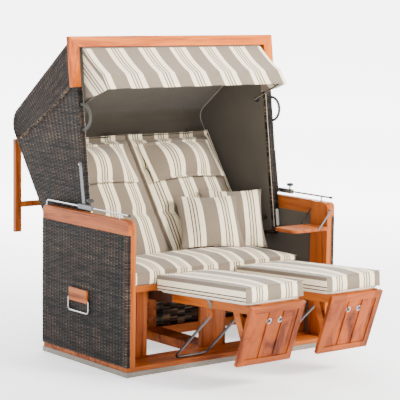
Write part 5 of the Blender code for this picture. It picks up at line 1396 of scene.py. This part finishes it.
def studio():
    """Pale floor and backdrop, soft lights and the photograph's camera."""
    across, bend, back = 34.0, 6.0, 24.0
    profile = [(-28.0, 0.0), (back - bend, 0.0)]
    for i in range(1, 13):
        angle = math.pi / 2 * i / 12
        profile.append((back - bend + bend * math.sin(angle), bend - bend * math.cos(angle)))
    profile.append((back, 22.0))
    turn = Matrix.Rotation(-CAMERA_YAW, 4, "Z")
    vertices = [turn @ Vector((x, y, z - 0.0002)) for x in (-across, across) for y, z in profile]
    count = len(profile)
    faces = [(i, count + i, count + i + 1, i + 1) for i in range(count - 1)]
    mesh = bpy.data.meshes.new("floor")
    mesh.from_pydata([tuple(v) for v in vertices], [], faces)
    floor = bpy.data.objects.new("floor", mesh)
    bpy.context.scene.collection.objects.link(floor)
    net = Net("pale_floor", 0.75)
    cloud = net.noise(net.place(), 0.7, 2.0)
    net.colour(net.ramp(cloud, [(0.3, (0.92, 0.93, 0.94)), (0.7, (0.95, 0.955, 0.96))]))
    net.shader.inputs["Emission Color"].default_value = (1.0, 1.0, 1.0, 1.0)
    apart = net.add("ShaderNodeVectorMath", operation="LENGTH")
    net.feed(apart.inputs[0], net.place())
    glow = net.add("ShaderNodeMapRange", interpolation_type="SMOOTHSTEP")
    net.feed(glow.inputs["Value"], apart.outputs["Value"])
    for socket, value in (("From Min", 1.6), ("From Max", 6.5), ("To Min", 0.9), ("To Max", 4.2)):
        glow.inputs[socket].default_value = value
    net.feed(net.shader.inputs["Emission Strength"], glow.outputs[0])
    mesh.materials.append(net.material)
    mesh.shade_smooth()

    world = bpy.data.worlds.new("studio")
    world.use_nodes = True
    world.node_tree.nodes["Background"].inputs["Color"].default_value = (0.90, 0.94, 1.0, 1.0)
    world.node_tree.nodes["Background"].inputs["Strength"].default_value = 0.5
    bpy.context.scene.world = world
    for name, place, aim, size, energy, colour in (
            ("key", (2.6, -5.2, 4.2), (0, 0, 0.7), 2.4, 900, (1.0, 0.96, 0.90)),
            ("front", (-3.2, -5.8, 2.4), (0, 0, 0.8), 2.6, 150, (1.0, 0.97, 0.92)),
            ("fill", (-6.0, -2.6, 2.8), (0, 0, 0.9), 3.5, 90, (0.90, 0.94, 1.0)),
            ("top", (0.5, -0.5, 5.2), (0, 0, 0.5), 4.0, 200, (1.0, 1.0, 1.0)),
            ("rear", (-2.5, 5.0, 3.6), (0, 0, 0.9), 3.0, 130, (1.0, 1.0, 1.0)),
            ("backdrop", (1.5, 2.6, 5.5), (4.5, 7.0, 0.0), 5.0, 700, (1.0, 1.0, 1.0))):
        lamp = bpy.data.lights.new(name, "AREA")
        lamp.shape = "DISK"
        lamp.size = size
        lamp.energy = energy
        lamp.color = colour
        item = bpy.data.objects.new(name, lamp)
        item.location = place
        item.rotation_euler = (Vector(aim) - Vector(place)).to_track_quat("-Z", "Y").to_euler()
        bpy.context.scene.collection.objects.link(item)

    flat = math.cos(CAMERA_PITCH)
    sight = Vector((math.sin(CAMERA_YAW) * flat, math.cos(CAMERA_YAW) * flat, math.sin(CAMERA_PITCH)))
    level = Vector((math.cos(CAMERA_YAW), -math.sin(CAMERA_YAW), 0))
    rise = level.cross(sight)
    right = level * math.cos(CAMERA_ROLL) + rise * math.sin(CAMERA_ROLL)
    up = rise * math.cos(CAMERA_ROLL) - level * math.sin(CAMERA_ROLL)
    matrix = Matrix((right, up, -sight)).transposed().to_4x4()
    matrix.translation = Vector(CAMERA_PLACE)
    camera = bpy.data.cameras.new("camera")
    camera.lens = CAMERA_LENS
    camera.sensor_width = 36.0
    item = bpy.data.objects.new("camera", camera)
    item.matrix_world = matrix
    bpy.context.scene.collection.objects.link(item)
    bpy.context.scene.camera = item


studio()

CLOTH = striped_cloth("striped_cloth")
STRAND = strand_material("strands", bumped=False)
STRAND_UNDER = strand_material("strands_under", bumped=True)
LINING = plain_cloth("lining_cloth", (0.070, 0.058, 0.042))
BEIGE = plain_cloth("beige_liner", (0.62, 0.57, 0.49))
ELASTIC = plain_cloth("elastic", (0.115, 0.105, 0.10), 0.0012)
PIPING = plain_cloth("piping", (0.42, 0.36, 0.30))
STEEL_PLAIN = steel("steel", (0.13, 0.13, 0.135), 0.38)
STEEL_BRIGHT = steel("bright_steel", (0.34, 0.34, 0.35), 0.24)
STRIP = steel("strip_steel", (0.24, 0.215, 0.18), 0.42)
BLACK = plastic("black_knob", (0.016, 0.016, 0.017))
GRIP_WRAP = plastic("grip_wrap", (0.034, 0.034, 0.028), 0.6)
# Dark plastic of the ties; also the dark discs of painted shade in the grommets' holes.
DARK = plastic("dark_tie_and_hole_shade", (0.018, 0.017, 0.017), 0.7)
PALE_RUBBER = plastic("pale_bumper", (0.42, 0.42, 0.40), 0.55)
TEAK_Y = wood("teak_y", "y")
TEAK_Z = wood("teak_z", "z")
TEAK_BOARDS = wood("teak_boards", "z", board_width=0.066)
TEAK_FLAP = wood("teak_flap", "z", (0.80, 0.66, 0.30), flap_mask, 0.0927)
TEAK_HEADER = wood("teak_header", "x", (1.55, 1.38, 0.3), header_mask)
TEAK_LEDGE = wood("teak_ledge", "x", (0.92, 0.92, 0.92))

dress(["hood", "rear_panel"] + both("side_panel"), STRAND_UNDER)
dress(["hood_lining"] + both("side_lining"), LINING)
dress(["plinth", "seat_board"], TEAK_LEDGE)
dress(both("arm_rail") + ["seat_frame"] + both("tray") + ["side_table"], TEAK_Y)
dress(both("front_post") + ["support_frame"], TEAK_Z)
dress(["front_wall"], TEAK_BOARDS)
dress(both("flap"), TEAK_FLAP)
dress(["header_frame"], TEAK_HEADER)
dress(both("carry_block"), TEAK_Y)
dress(["edge_strip"], STRIP)
for family in ("pivot_bolt", "clamp", "strap", "support_hinge", "runner", "leg", "bow_bracket"):
    dress(both(family), STEEL_PLAIN)
dress(["table_stay_front", "table_stay_rear"], STEEL_PLAIN)
dress(both("slide_rod") + ["awning_bow"] + both("carry_bail"), STEEL_BRIGHT)
dress(both("grip"), GRIP_WRAP)
dress(both("knob"), BLACK)

weave_base(STRAND)
wrap_corners(STRAND)
weave_hood(STRAND)
make_cushions()
make_awning()
make_fittings()
